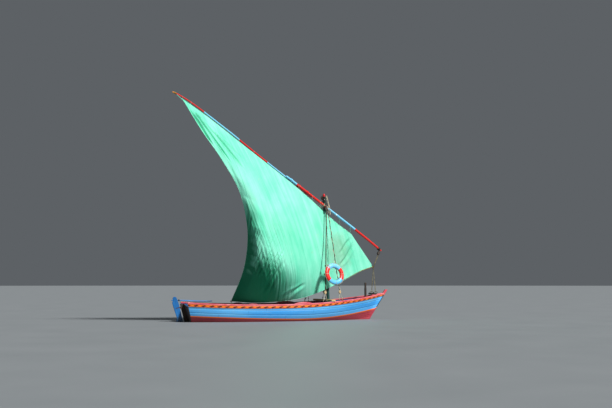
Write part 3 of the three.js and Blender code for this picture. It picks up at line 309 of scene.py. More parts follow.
def yard_bands(tree, where):
    """Gloss enamel on a pole in red and pale-blue bands by the UV map's first value, the share of the
    yard's length. Its worn spots show the wood, and are duller."""
    share = add(tree, "SeparateXYZ", {0: where["UV"]})
    tone = add(tree, "ValToRGB", {0: share}, stops=YARD_BANDS)
    tone.node.color_ramp.interpolation = "CONSTANT"
    chip = add(tree, "TexNoise", {"Vector": where["Object"], "Scale": 36.0, "Detail": 6.0, "Roughness": 0.7})
    wear = add(tree, "MapRange", {0: chip, 1: 0.65, 2: 0.7, 4: 0.6})
    tone = add(tree, "Mix", {0: wear, 6: tone, 7: "#6d4c38"}, 2, data_type="RGBA")
    return tone, chip, wear


MAST_RED_FROM = 4.392


def mast_bands(tree, where):
    """Dark-green gloss paint on a pole, rubbed to the wood in long streaks, and a red head."""
    height = add(tree, "SeparateXYZ", {0: where["Object"]}, 2)
    streaks = add(tree, "Mapping", {0: where["Object"], 3: (1, 1, 0.12)})
    drift = add(tree, "TexNoise", {"Vector": streaks, "Scale": 9.0, "Detail": 5.0})
    green = add(tree, "Mix", {0: drift, 6: "#0d3a33", 7: "#3c6a60"}, 2, data_type="RGBA")
    rub = add(tree, "TexNoise", {"Vector": streaks, "Scale": 34.0, "Detail": 5.0, "Roughness": 0.7})
    wear = add(tree, "MapRange", {0: rub, 1: 0.6, 2: 0.68, 4: 0.6})
    green = add(tree, "Mix", {0: wear, 6: green, 7: "#7a6248"}, 2, data_type="RGBA")
    head = add(tree, "Math", {0: height, 1: MAST_RED_FROM}, operation="GREATER_THAN")
    return add(tree, "Mix", {0: head, 6: green, 7: "#c9252a"}, 2, data_type="RGBA"), rub, wear


STEM_BANDS = [  # height in metres, colour
    (0.0, "#a8384c"),
    (0.398, "#f07f18"),
    (0.432, "#174a63"),
    (0.86, "#d44a58"),
]


def stem_bands(tree, where):
    """House paint on the stem in bands by height: crimson below an orange line, dark teal beside the blue
    topsides, and a red head. Knocks show a paler coat."""
    height = add(tree, "SeparateXYZ", {0: where["Object"]}, 2)
    tone = add(tree, "ValToRGB", {0: height}, stops=STEM_BANDS)
    tone.node.color_ramp.interpolation = "CONSTANT"
    chip = add(tree, "TexNoise", {"Vector": where["Object"], "Scale": 18.0, "Detail": 6.0, "Roughness": 0.7})
    wear = add(tree, "MapRange", {0: chip, 1: 0.56, 2: 0.7, 4: 0.45})
    tone = add(tree, "Mix", {0: wear, 6: tone, 7: "#e48c90"}, 2, data_type="RGBA")
    return washed(tree, where, tone, -0.04), chip, wear


CLOTH_WIDTH = 0.82  # one bolt of sailcloth
# Patches on the sail, each a Mapping node's location and scale: inside a patch the mapped point's length is
# under about one. The dark green about the clew and along the leech is painted shade.
PAINTED_SHADE_CLEW = (1.0, 0, -0.47), (0.56, 0, 0.64)  # about the clew
PAINTED_SHADE_LEECH = (5.6, 0, -1.28), (2.9, 0, 0.58)  # along the leech above it
GREYED_FORE = (-2.5, 0, -2.6), (1.3, 0, 1.1)  # a greyer patch in the fore part of the cloth
COMB_PLACE, COMB_SIZE = (0.8, 0, -1.45), (0.85, 0, 0.6)  # fine folds above the clew
COMB_TURN = math.radians(30)  # their slant on the flat cloth


def sewn_cloths(tree, where):
    """Thin dyed cotton. The UV map is the cloth laid flat, in metres. Threads are drawn 12 mm apart so that
    they show, the cloths are sewn together every 0.82 m with a dark lapped seam 22 mm wide, and the dye has
    faded in streaks."""
    across = add(tree, "SeparateXYZ", {0: where["UV"]})
    streaks = add(tree, "Mapping", {0: where["UV"], 3: (1, 0.06, 1)})
    streak = add(tree, "TexNoise", {"Vector": streaks, "Scale": 5.0, "Detail": 5.0})
    cloud = add(tree, "TexNoise", {"Vector": where["UV"], "Scale": 0.8, "Detail": 4.0})
    share = add(tree, "Math", {0: streak, 1: 0.9, 2: cloud}, operation="MULTIPLY_ADD")
    share = add(tree, "MapRange", {0: share, 1: 0.75, 2: 1.12})
    tone = add(tree, "Mix", {0: share, 6: "#68d6b0", 7: "#8fe8ca"}, 2, data_type="RGBA")
    seam = add(tree, "Math", {0: across, 1: CLOTH_WIDTH, 2: 0.0}, operation="WRAP")
    seam = add(tree, "Math", {0: seam, 1: 0.022}, operation="LESS_THAN")
    dark = add(tree, "Math", {0: seam, 1: 0.3}, operation="MULTIPLY")
    tone = add(tree, "Mix", {0: dark, 6: tone, 7: "#2fae86"}, 2, data_type="RGBA")
    stain = add(tree, "TexNoise", {"Vector": where["UV"], "Scale": 2.6, "Detail": 6.0, "Roughness": 0.7})
    dirt = add(tree, "MapRange", {0: stain, 1: 0.62, 2: 0.8, 4: 0.45})
    tone = add(tree, "Mix", {0: dirt, 6: tone, 7: "#b9b58a"}, 2, data_type="RGBA")
    slanted = add(tree, "Mapping", {0: where["UV"], 2: (0, 0, COMB_TURN), 3: (1, 0.055, 1)})
    comb = add(tree, "TexNoise", {"Vector": slanted, "Scale": 15.0, "Detail": 3.0})
    patches = (
        add(tree, "Mapping", {0: where["Object"], 1: place, 3: size})
        for place, size in (PAINTED_SHADE_CLEW, PAINTED_SHADE_LEECH, GREYED_FORE)
    )
    low, leech, fore = (add(tree, "VectorMath", {0: patch}, 1, operation="LENGTH") for patch in patches)
    # Painted shade: about the clew and along the leech the cloth is darkened to a deep green, its edge made
    # ragged by the comb folds.
    far = add(tree, "Math", {0: low, 1: leech}, operation="MINIMUM")
    far = add(tree, "Math", {0: comb, 1: 0.8, 2: far}, operation="MULTIPLY_ADD")
    painted_shade = add(tree, "MapRange", {0: far, 1: 1.48, 2: 1.02, 4: 0.92})
    far = add(tree, "Math", {0: stain, 1: 1.2, 2: fore}, operation="MULTIPLY_ADD")
    fore_greying = add(tree, "MapRange", {0: far, 1: 1.6, 2: 1.0, 4: 0.42})
    tone = add(tree, "Mix", {0: fore_greying, 6: tone, 7: "#7f8a66"}, 2, data_type="RGBA")
    # the painted shade's deep green
    tone = add(tree, "Mix", {0: painted_shade, 6: tone, 7: "#00704a"}, 2, data_type="RGBA")
    threads = add(tree, "VectorMath", {0: where["UV"], 1: (524, 524, 0)}, operation="MULTIPLY")
    threads = add(tree, "VectorMath", {0: threads}, operation="SINE")
    thread = add(tree, "SeparateXYZ", {0: threads})
    weave = add(tree, "Math", {0: thread, 1: thread.node.outputs[1]}, operation="MULTIPLY")
    crumple = add(tree, "TexNoise", {"Vector": streaks, "Scale": 16.0, "Detail": 6.0, "Roughness": 0.65})
    spot = add(tree, "Mapping", {0: where["Object"], 1: COMB_PLACE, 3: COMB_SIZE})
    far = add(tree, "VectorMath", {0: spot}, 1, operation="LENGTH")
    pulled = add(tree, "MapRange", {0: far, 1: 1.15, 2: 0.5, 4: 7.0})
    crumple = add(tree, "Math", {0: comb, 1: pulled, 2: crumple}, operation="MULTIPLY_ADD")
    relief = add(tree, "Math", {0: weave, 1: 0.05, 2: crumple}, operation="MULTIPLY_ADD")
    relief = add(tree, "Math", {0: seam, 1: 0.12, 2: relief}, operation="MULTIPLY_ADD")
    return tone, relief, dirt


BUOY_BANDS = [  # share of the ring's turn from its fore side upwards, colour
    (0.0, "#e2281f"),
    (0.106, "#74c8f0"),
    (0.375, "#e2281f"),
    # a darker blue than the upper section's: painted shade on the ring's underside
    (0.617, "#62bdec"),
    (0.889, "#e2281f"),
]


def buoy_bands(tree, where):
    """A moulded ring's skin in red and pale-blue sections by the UV map's first value, the share of its turn,
    scuffed through to a chalky core. The lower blue section is a darker blue than the upper one, as painted
    shade."""
    turn = add(tree, "SeparateXYZ", {0: where["UV"]})
    tone = add(tree, "ValToRGB", {0: turn}, stops=BUOY_BANDS)
    tone.node.color_ramp.interpolation = "CONSTANT"
    scuff = add(tree, "TexNoise", {"Vector": where["Object"], "Scale": 40.0, "Detail": 6.0, "Roughness": 0.7})
    wear = add(tree, "MapRange", {0: scuff, 1: 0.6, 2: 0.7, 4: 0.35})
    return add(tree, "Mix", {0: wear, 6: tone, 7: "#d8d2c6"}, 2, data_type="RGBA"), scuff, wear


def forged_iron(tree, where):
    """Forged iron under old paint: rust mottles it 15 mm across, and it is rough and pitted."""
    mottle = add(
        tree, "TexNoise", {"Vector": where["Object"], "Scale": 65.0, "Detail": 6.0, "Roughness": 0.7}
    )
    share = add(tree, "MapRange", {0: mottle, 1: 0.4, 2: 0.65})
    return add(tree, "Mix", {0: share, 6: "#2e231d", 7: "#7f4826"}, 2, data_type="RGBA"), mottle, share


def swept_floor(tree, where):
    """A pale painted floor, faintly mottled."""
    mottle = add(tree, "TexNoise", {"Vector": where["Object"], "Scale": 0.6, "Detail": 3.0})
    return add(tree, "Mix", {0: mottle, 6: "#7b8082", 7: "#85898b"}, 2, data_type="RGBA"), mottle, mottle


ALONG, ACROSS, UPRIGHT = (0.06, 1, 1), (1, 0.06, 1), (1, 1, 0.06)
PAINTED, ROPE_ROUGH = (0.42, 0.75), (0.85, 0.98)  # roughness, sound and worn
DEEP_RELIEF, FINE_RELIEF = (0.5, 0.003), (0.5, 0.002)  # strength, and height in metres
SAWN_RELIEF, ROPE_RELIEF = (0.6, 0.003), (0.4, 0.001)
BOTTOM = material(
    "crimson_bottom_paint",
    painted_planks("#96222f", "#b43c4a", "#7c2a36", weed=-0.03),
    PAINTED,
    DEEP_RELIEF,
)
TOPSIDE = material(
    "blue_topside_paint",
    painted_planks("#3ba2ee", "#74c8fa", "#8ab4cc", "#ff7a04"),
    PAINTED,
    DEEP_RELIEF,
)
INSIDE = material(
    "blue_inside_paint",
    painted_planks("#114e88", "#1b68a8", "#4b6c80", weed=-0.2),
    (0.6, 0.85),
    DEEP_RELIEF,
)
RAIL = material(
    "red_rail_paint",
    brushed_paint("#cf4654", "#e0747c", "#f0aaa6", ALONG, 0.58),
    PAINTED,
    FINE_RELIEF,
)
SEAT, TILLER_PAINT = (
    material(name, brushed_paint("#1464a0", "#2a7fbe", "#6f8894", grain), PAINTED, FINE_RELIEF)
    for name, grain in (("blue_seat_paint", ACROSS), ("blue_tiller_paint", ALONG))
)
BLADE = material(
    "blue_rudder_paint",
    brushed_paint("#125c9a", "#2273b6", "#4b4038", UPRIGHT, 0.6, 0.12),
    PAINTED,
    FINE_RELIEF,
)
KEEL = material(
    "crimson_keel_paint",
    brushed_paint("#96303f", "#a9404f", "#5b4634", ALONG, 0.6, -0.03),
    PAINTED,
    DEEP_RELIEF,
)
TIMBER, CROSS_TIMBER = (
    material(name, sawn_timber("#8f7a60", "#4c3828", grain), (0.7, 0.95), SAWN_RELIEF)
    for name, grain in (("weathered_teak", ALONG), ("weathered_teak_across", ACROSS))
)
DARK, DARK_ACROSS = (
    material(name, sawn_timber("#46352a", "#1b1410", grain), (0.55, 0.85), SAWN_RELIEF)
    for name, grain in (("oiled_hardwood", UPRIGHT), ("oiled_hardwood_across", ACROSS))
)
PALE = material("sawn_mango_wood", sawn_timber("#e0c492", "#b08a56", ACROSS), (0.65, 0.9), FINE_RELIEF)
BLOCKWOOD = material("block_wood", sawn_timber("#c9ad80", "#86683f", UPRIGHT), (0.6, 0.85), FINE_RELIEF)
ROPE = material("bleached_rope", laid_rope("#ded5b8", "#968c6e"), ROPE_ROUGH, ROPE_RELIEF)
COIR = material("coir_rope", laid_rope("#857c60", "#3e3926"), ROPE_ROUGH, ROPE_RELIEF)
TARRED = material("tarred_rope", laid_rope("#45473b", "#171a15"), (0.7, 0.95), ROPE_RELIEF)
TWINE = material("ochre_twine", laid_rope("#d3a23c", "#8d6424"), ROPE_ROUGH, ROPE_RELIEF)
HEM = material("dyed_bolt_rope", laid_rope("#9fe6cd", "#4fae90"), ROPE_ROUGH, ROPE_RELIEF)
STRAKE = material("orange_strake_paint", lozenges, PAINTED, FINE_RELIEF)
YARD = material("yard_enamel", yard_bands, (0.28, 0.7), (0.3, 0.002), Coat_Weight=0.2)
MAST = material("mast_enamel", mast_bands, (0.35, 0.75), (0.4, 0.002))
STEM = material("stem_paint", stem_bands, PAINTED, DEEP_RELIEF)
SAILCLOTH = material("sailcloth", sewn_cloths, (0.8, 0.92), (0.6, 0.02), Specular_IOR_Level=0.1)
BUOY = material("moulded_buoy_skin", buoy_bands, (0.35, 0.7), (0.25, 0.001))
IRON = material("forged_iron", forged_iron, (0.6, 0.9), FINE_RELIEF, Metallic=0.4)
FLOOR = material("painted_floor", swept_floor, (0.5, 0.6), (0.1, 0.001))

# Meshes: every solid is a run of rings, each a closed section with the same count of points.
def loft(rings, across=None, along=None, closed=False, bands=None):
    """A solid through rings of points, an array (ring, point, xyz). Its ends are closed by strips between
    the section's two halves, or its last ring joins its first if closed. across and along are the UV values
    round the section and along the run, by default in metres; bands gives each strip's material by its
    number."""
    m, n = rings.shape[:2]
    if along is None:
        middles = rings.mean(axis=1)
        steps = np.linalg.norm(np.diff(middles, axis=0, append=middles[:1]), axis=1)
        along = np.concatenate([[0], np.cumsum(steps)])
    if across is None:
        middle = rings[m // 2]
        steps = np.linalg.norm(np.roll(middle, -1, axis=0) - middle, axis=1)
        across = np.concatenate([[0], np.cumsum(steps)])
    i, k = (a.ravel() for a in np.meshgrid(np.arange(m if closed else m - 1), np.arange(n), indexing="ij"))
    i1, k1 = (i + 1) % m, (k + 1) % n
    faces = np.stack([i * n + k, i * n + k1, i1 * n + k1, i1 * n + k], -1)
    uv = np.stack([along[np.stack([i, i, i + 1, i + 1], -1)], across[np.stack([k, k + 1, k + 1, k], -1)]], -1)
    finish = np.zeros(n, int)[k] if bands is None else np.asarray(bands)[k]
    if not closed:
        c = np.arange(n // 2 - 1)
        start = np.stack([c, n - 1 - c, n - 2 - c, c + 1], -1)
        end = np.stack([c, c + 1, n - 2 - c, n - 1 - c], -1)
        for corner, ring in ((start, 0), (end, m - 1)):
            faces = np.concatenate([faces, corner + ring * n])
            uv = np.concatenate([uv, np.stack([np.full(corner.shape, along[ring]), across[corner]], -1)])
            finish = np.concatenate([finish, np.full(len(corner), finish[0])])
    points = rings.reshape(-1, 3)
    a, b, c, d = (points[faces[:, q]] for q in range(4))
    volume = np.einsum("ij,ij->", a, np.cross(b, c)) + np.einsum("ij,ij->", a, np.cross(c, d))
    if volume < 0:
        faces, uv = faces[:, ::-1], uv[:, ::-1]
    return points, faces, uv, finish


def piece(name, parts, body, finishes, stands_for=(), crease=40):
    """One object from lofts, in the boat's frame and riding on a body, of one material or several."""
    finishes = finishes if isinstance(finishes, list) else [finishes]
    count = np.cumsum([0] + [len(part[0]) for part in parts])
    points = np.concatenate([part[0] for part in parts])
    faces = np.concatenate([part[1] + start for part, start in zip(parts, count)])
    mesh = bpy.data.meshes.new(name)
    mesh.from_pydata(points, [], faces)
    corners = np.concatenate([part[2] for part in parts])
    mesh.uv_layers.new(name="UVMap").data.foreach_set("uv", corners.ravel())
    mesh.polygons.foreach_set("material_index", np.concatenate([part[3] for part in parts]))
    for finish in finishes:
        mesh.materials.append(finish)
    mesh.shade_smooth()
    mesh.set_sharp_from_angle(angle=math.radians(crease))
    made = bpy.data.objects.new(name, mesh)
    bpy.context.collection.objects.link(made)
    if body:
        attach(made, body)
    if stands_for:
        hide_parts(*stands_for)
    return made


def unit(v):
    """Vectors divided by their lengths."""
    return v / np.maximum(np.linalg.norm(v, axis=-1, keepdims=True), 1e-12)


def point(*values):
    """An array of floats."""
    return np.array(values, float)


def rounded(half_wide, half_high, radius, steps=3):
    """A rectangle with round corners, anticlockwise from its right side, as an array (point, 2)."""
    corner = np.linspace(0, np.pi / 2, steps + 1)
    turns = np.concatenate([corner + q * np.pi / 2 for q in range(4)])
    x = np.repeat([1, -1, -1, 1], steps + 1) * (half_wide - radius)
    y = np.repeat([1, 1, -1, -1], steps + 1) * (half_high - radius)
    return np.stack([x + radius * np.cos(turns), y + radius * np.sin(turns)], -1)


EASED = rounded(0.5, 0.5, 0.1, 2) + 0.5  # a unit square with eased corners, for a timber's section
WIDE, TALL = EASED[:, 0], EASED[:, 1]


def carry(section, path, level=(0, 0, 1)):
    """A section carried along a path: its first value goes to the side, its second towards level."""
    forward = unit(np.gradient(path, axis=0))
    side = unit(np.cross(forward, np.asarray(level, float)))
    up = np.cross(side, forward)
    section = np.broadcast_to(section, (len(path), *section.shape[-2:]))
    return path[:, None] + section[..., :1] * side[:, None] + section[..., 1:] * up[:, None]


def circle(sides):
    """The cosine and sine of evenly spaced turns, the first half a step off the axis."""
    turn = (np.arange(sides) + 0.5) * 2 * np.pi / sides
    return np.stack([np.cos(turn), np.sin(turn)], -1)


def pole(path, radii, sides=24, level=(0, 1, 0)):
    """A round bar along a path, with a radius at each point."""
    return carry(circle(sides) * np.broadcast_to(radii, len(path))[:, None, None], path, level)


def curve(points, shares):
    """Points at even shares of a centripetal Catmull-Rom curve, which passes through every given point."""
    p = np.asarray(points, float)
    p = np.concatenate([[2 * p[0] - p[1]], p, [2 * p[-1] - p[-2]]])
    place = np.clip(np.asarray(shares, float), 0, 1) * (len(p) - 3)
    i = np.minimum(place.astype(int), len(p) - 4)
    w = (place - i)[..., None]
    a, b, c, d = (p[i + q] for q in range(4))
    gap = [np.sqrt(np.linalg.norm(q - r, axis=-1, keepdims=True)) for q, r in ((b, a), (c, b), (d, c))]
    at_b = ((b - a) / gap[0] - (c - a) / (gap[0] + gap[1]) + (c - b) / gap[1]) * gap[1]
    at_c = ((c - b) / gap[1] - (d - b) / (gap[1] + gap[2]) + (d - c) / gap[2]) * gap[1]
    return b + at_b * w + (3 * (c - b) - 2 * at_b - at_c) * w**2 + (2 * (b - c) + at_b + at_c) * w**3


def even(path, step):
    """The path again, with points an even step apart along it."""
    length = np.concatenate([[0], np.cumsum(np.linalg.norm(np.diff(path, axis=0), axis=1))])
    at = np.linspace(0, length[-1], max(int(length[-1] / step) + 1, 3))
    return np.stack([np.interp(at, length, path[:, q]) for q in range(3)], -1)


STRANDS = 3
LAY = 3.3  # a strand's turn along the rope, in rope diameters


def rope(path, radius, level=(0.3, 1, 0.2), sides=12):
    """A laid rope: the section is three round lobes, and it turns once in every lay along the path, so the
    mesh's edges follow the strands."""
    path = even(np.asarray(path, float), radius * LAY * 2 / 7)
    length = np.linspace(0, 1, len(path)) * np.linalg.norm(np.diff(path, axis=0), axis=1).sum()
    spin = 2 * np.pi * length / (LAY * 2 * radius)
    turn = (np.arange(sides) + 0.5) * 2 * np.pi / sides
    lobes = 0.74 + 0.26 * np.abs(np.cos(STRANDS / 2 * (turn - turn[1])))
    around = turn[None] + spin[:, None]
    section = np.stack([np.cos(around), np.sin(around)], -1) * (radius * lobes)[None, :, None]
    return loft(carry(section, path, level))


def straight(a, b, count=24, sag=0.0):
    """A line between two points that hangs by a sag in its middle."""
    w = np.linspace(0, 1, count)[:, None]
    line = np.asarray(a, float) * (1 - w) + np.asarray(b, float) * w
    line[:, 2] -= (4 * sag * w * (1 - w))[:, 0]
    return line


def wound(centre, axis, out, far, thick, turns, rise):
    """A helix about an axis, round two bars side by side: it reaches far along out, and thick across it."""
    axis = unit(np.asarray(axis, float))
    out = unit(np.asarray(out, float) - axis * (np.asarray(out, float) @ axis))
    w = np.linspace(0, 1, int(turns * 24) + 1)[:, None]
    turn = w * turns * 2 * np.pi
    across = np.cross(axis, out) * np.sin(turn) * thick
    return np.asarray(centre, float) + out * np.cos(turn) * far + across + axis * rise * (w - 0.5)


# Hull form: u runs from the transom (0) to the stem (1), v from the planking's lower edge to its top.
def ramp(x, a, b):
    """A straight rise from 0 at a to 1 at b, held level beyond both."""
    return np.clip((x - a) / (b - a), 0, 1)


def rail_top(x):
    """The rail's height: lowest at x = -1, rising as the power 2.3 of the way forward and 2 aft."""
    fore = 0.583 + 0.36 * (np.maximum(x + 1, 0) / 4.74) ** 2.3
    aft = 0.583 + 0.076 * (np.maximum(-1 - x, 0) / 2.64) ** 2
    return np.where(x > -1, fore, aft)


def half_beam(x):
    """The half-breadth at the rail: widest at x = -0.3. Forward it is (1 - w^2.3)^0.95 of that, where w is
    the share of the way to the stem, and aft it shrinks as the power 2.2 of the way."""
    fore = 1.05 * (1 - ramp(x, -0.3, 3.69) ** 2.3) ** 0.95
    aft = 1.05 - 0.45 * (np.maximum(-0.3 - x, 0) / 3.34) ** 2.2
    return np.where(x > -0.3, fore, aft)


RAIL_HIGH, RAIL_WIDE, RAIL_OUT = 0.055, 0.074, 0.03
PLANK = 0.028
KEEL_HALF = 0.035
KEEL_BOTTOM = -0.46
KEEL_TOP = 0.032
STATIONS_FROM, STATIONS_LONG = -3.44, 6.54  # x of u = 0 at z = 0, and the length to u = 1


def station(u):
    """The hull's section at u: rake and foot, top and bottom of the planking, half-breadth and curve. Most
    are a middle value that changes by powers of the way into the bow and into the stern."""
    bow, stern = ramp(u, 0.45, 1) ** 1.6, (1 - ramp(u, 0, 0.35)) ** 2
    rake = -0.3 * stern + 0.68 * ramp(u, 0.45, 1) ** 2
    x0 = STATIONS_FROM + STATIONS_LONG * u
    top = np.full_like(u, 0.583)
    for _ in range(6):
        top = rail_top(x0 + rake * top)
    bottom = -0.35 + 0.16 * stern + 0.135 * ramp(u, 0.7, 1) ** 3
    half = np.maximum(half_beam(x0 + rake * top), 0.067)
    full = (2.3 - 1.15 * bow) * (1 - stern) + 2.0 * stern
    flare = (0.58 + 0.42 * bow) * (1 - stern) + 0.62 * stern
    inner = 0.037 + 0.029 * ramp(u, 0.7, 1) ** 1.5 + 0.012 * stern
    return rake, x0, top - RAIL_HIGH, bottom, half, full, flare, inner


def skin(u, v):
    """A point of the outer face: the half-breadth grows as (1 - (1 - v)^full)^flare up the side."""
    rake, x0, top, bottom, half, full, flare, inner = station(u)
    z = bottom + (top - bottom) * v
    breadth = (1 - (1 - np.clip(v, 0, 1)) ** full) ** flare
    return np.stack([x0 + rake * z, inner + (half - inner) * breadth, z], -1)


def paint_line(x):
    """The painted line's height: lowest at x = 0.2, rising as the power 2.1 of the way forward, 1.3 aft."""
    aft = 0.048 + 0.13 * (np.maximum(0.2 - x, 0) / 3.64) ** 1.3
    fore = 0.048 + 0.355 * (np.maximum(x - 0.2, 0) / 3.23) ** 2.1
    return np.where(x < 0.2, aft, fore)


def line_v(u):
    """The painted line as a share of the planking's height at a station."""
    rake, x0, top, bottom = station(u)[:4]
    return (paint_line(x0 + rake * 0.15) - bottom) / (top - bottom)


def hull_point(u, v, depth=0.0):
    """A point a depth inside the planking's outer face, in the section's plane and on the port side: square
    to the face below the painted line, and level above it."""
    u, v = np.broadcast_arrays(np.asarray(u, float), np.asarray(v, float))
    along_u = skin(np.minimum(u + 0.004, 1), v) - skin(np.maximum(u - 0.004, 0), v)
    along_v = skin(u, np.minimum(v + 0.02, 1)) - skin(u, np.maximum(v - 0.02, 0.002))
    out = np.cross(along_u, along_v)
    out[out[..., 1] < 0] *= -1
    out = unit(out)
    out[..., 0] = 0
    out = unit(out)
    place = skin(u, v)
    level = v > line_v(u) - 1e-6
    depth = np.broadcast_to(depth, u.shape)
    place[..., 1] -= np.where(level, depth / np.maximum(out[..., 1], 0.6), depth * out[..., 1])
    place[..., 2] -= np.where(level, 0, depth * out[..., 2])
    place[..., 1] = np.maximum(place[..., 1], KEEL_HALF + 0.001)
    return place


def level_point(u, z, depth):
    """The point at a height, a depth inside the planking: v is moved until the height is met."""
    top, bottom = station(u)[2:4]
    v = (z - bottom) / (top - bottom)
    for _ in range(5):
        v = np.clip(v + (z - hull_point(u, v, depth)[..., 2]) / (top - bottom), 0, 1)
    return hull_point(u, v, depth)


def level_u(x):
    """The station at x, where its rake is left out."""
    return (np.asarray(x, float) - STATIONS_FROM) / STATIONS_LONG


def u_of(x, z=0.0):
    """The station whose raked section passes through x at a height."""
    u = level_u(x)
    for _ in range(8):
        rake, x0 = station(u)[:2]
        u = u + (x - x0 - rake * z) / STATIONS_LONG
    return u


def inside_y(x, z, depth):
    """The half-breadth at any x and height, a depth inside the planking."""
    return level_point(u_of(x, z), z, depth)[..., 1]


SIDES = [("port", 1), ("starboard", -1)]
MIRROR = {1: point(1, 1, 1), -1: point(1, -1, 1)}
US = np.linspace(0, 1, 161)
SEAM_DEEP = 0.004


def mirrored(parts, sign):
    """Parts as they are, or mirrored to the other side where sign is -1."""
    return [(part[0] * MIRROR[sign], part[1][:, ::sign], part[2][:, ::sign], part[3]) for part in parts]


def planking(first, last, planks):
    """Planks between two heights v(u), as rings along u: outside from low to high, then inside back down.
    Each seam is a groove; the UV value across counts planks."""
    part = point(0.03, 0.2, 0.4, 0.6, 0.8, 0.97)
    rows = (np.arange(planks)[:, None] + np.concatenate([[0], part])).ravel()
    rows = np.append(rows, planks)
    groove = np.where(np.isclose(rows % 1, 0), SEAM_DEEP, 0)
    groove[[0, -1]] = 0
    low, high = first(US)[:, None], last(US)[:, None]
    v = low + (high - low) * rows / planks
    u = np.broadcast_to(US[:, None], v.shape)
    outside = hull_point(u, v, np.broadcast_to(groove, v.shape))
    inside = hull_point(u, v, np.full(v.shape, PLANK) - groove)
    rings = np.concatenate([outside, inside[:, ::-1]], axis=1)
    across = np.concatenate([rows, rows[::-1], rows[:1]])
    bands = np.concatenate([np.zeros(len(rows) - 1), np.ones(len(rows) + 1)]).astype(int)
    return rings, across, bands


def build_planking():
    """Seven planks a side below the painted line and three above it."""
    runs = [
        ("bottom_planking", lambda u: np.zeros_like(u), line_v, 7, BOTTOM, "bottom_paint"),
        ("topside_planking", line_v, np.ones_like, 3, TOPSIDE, "side_paint"),
    ]
    for name, first, last, planks, finish, slot in runs:
        rings, across, bands = planking(first, last, planks)
        for side, sign in SIDES:
            part = loft(rings * MIRROR[sign], across, bands=bands)
            piece(f"{name}_skin_{side}", [part], "hull", [finish, INSIDE], [f"{name}_{side}"], 60)


PADS = [("aft", -1.64, -1.33, 0.024), ("fore", -0.06, 0.56, 0.052)]  # name, aft x, fore x, height


def build_edges():
    """Rubbing strakes and gunwales are rounded sections carried along the top of the side. A thole pad is a
    hump on the gunwale whose height follows a half sine to the power 0.7."""
    top, bottom = station(US)[2:4]
    deep = 0.078 - 0.024 * ramp(US, 0.6, 1) ** 1.4
    low = hull_point(US, 1 - deep / (top - bottom))
    high = hull_point(US, np.ones_like(US))
    shape = rounded(0.5, 0.5, 0.2)
    wide, tall = (shape[:, q][None, :, None] + 0.5 for q in (0, 1))
    strake = low[:, None] * (1 - tall) + (high - [0, 0, 0.001])[:, None] * tall
    strake[..., 1:2] += 0.0015 + 0.022 * wide
    across = np.append(tall[0, :, 0], tall[0, 0, 0])
    bar = rounded(RAIL_WIDE / 2, RAIL_HIGH / 2, 0.016, 4)
    out, up = bar[:, 0] + RAIL_OUT - RAIL_WIDE / 2, bar[:, 1] + RAIL_HIGH / 2 + 0.0005
    rail = high[:, None] + np.stack([0 * out, out, up], -1)
    rail[..., 1] = np.maximum(rail[..., 1], KEEL_HALF + 0.0015)
    for side, sign in SIDES:
        part = loft(strake * MIRROR[sign], across)
        piece(f"strake_{side}", [part], "hull", STRAKE, [f"rubbing_strake_{side}"])
        part = loft(rail * MIRROR[sign])
        piece(f"rail_{side}", [part], "hull", RAIL, [f"gunwale_{side}"])
    for name, aft, fore, height in PADS:
        u = level_u(np.linspace(aft, fore, 33))
        edge = hull_point(u, np.ones_like(u))
        rise = 0.004 + height * np.sin(np.pi * np.linspace(0, 1, len(u))) ** 0.7
        rings = edge[:, None] + np.zeros((1, len(shape), 3))
        rings[..., 1] += RAIL_OUT - RAIL_WIDE / 2 + shape[:, 0] * 0.066
        rings[..., 2] += RAIL_HIGH + 0.0005 + (shape[:, 1] + 0.5) * rise[:, None]
        for side, sign in SIDES:
            part = loft(rings * MIRROR[sign])
            piece(f"pad_{side}_{name}", [part], "hull", RAIL, [f"thole_pad_{side}_{name}"])


def build_backbone():
    """The stem is a run of level sections with a round nose, between its fore and aft edges at each height.
    The transom is four planks with a groove at each seam."""
    z = np.linspace(KEEL_BOTTOM, 1.064, 70)
    face = np.interp(z, [-0.46, -0.448, -0.33, 1.064], [2.70, 2.837, 2.938, 3.8855])
    seat = hull_point(US, np.zeros_like(US))
    above = seat[:, 0] > 2.3
    back_z = np.concatenate([[-0.5], seat[above, 2] + KEEL_TOP, [0.06, 1.058]])
    back = np.interp(z, back_z, np.concatenate([[2.3005], seat[above, 0], [3.0528, 3.7775]]))
    nose = circle(16)
    ahead = (face - back)[:, None] - 0.03 + 0.03 * nose[:, 0]
    x = np.where(nose[:, 0] > 0, ahead, 0.004 + 0.004 * nose[:, 0]) + back[:, None]
    y = np.broadcast_to(KEEL_HALF * np.clip(nose[:, 1] * 1.35, -1, 1), x.shape)
    rings = np.stack([x, y, np.broadcast_to(z[:, None], x.shape)], -1)
    piece("stem_timber", [loft(rings)], "hull", STEM, ["stem"])
    rows = np.concatenate([[k, k + 0.04, k + 0.5, k + 0.96] for k in range(4)] + [[4]])
    z = -0.154 + 0.754 * rows / 4
    groove = np.where(np.isclose(rows % 1, 0), SEAM_DEEP, 0)
    edge = hull_point(np.zeros(40), np.linspace(0, 1, 40))
    half = np.interp(z, edge[:, 2], edge[:, 1], right=0.12)
    half[z > 0.59] = 0.12
    shape = rounded(0.5, 0.5, 0.1)
    rings = np.zeros((len(z), len(shape), 3))
    rings[..., 0] = (-3.46 - 0.3 * z)[:, None] + shape[:, 0] * (0.036 - 2 * groove)[:, None]
    rings[..., 1] = shape[:, 1] * 2 * half[:, None]
    rings[..., 2] = z[:, None]
    piece("transom_planks", [loft(rings)], "hull", DARK_ACROSS, ["transom"])


RIB_OUT, RIB_IN = 0.031, 0.081
RIB_FIRST, RIB_APART, RIBS, RIB_HALF = -2.93, 0.56, 11, 0.024


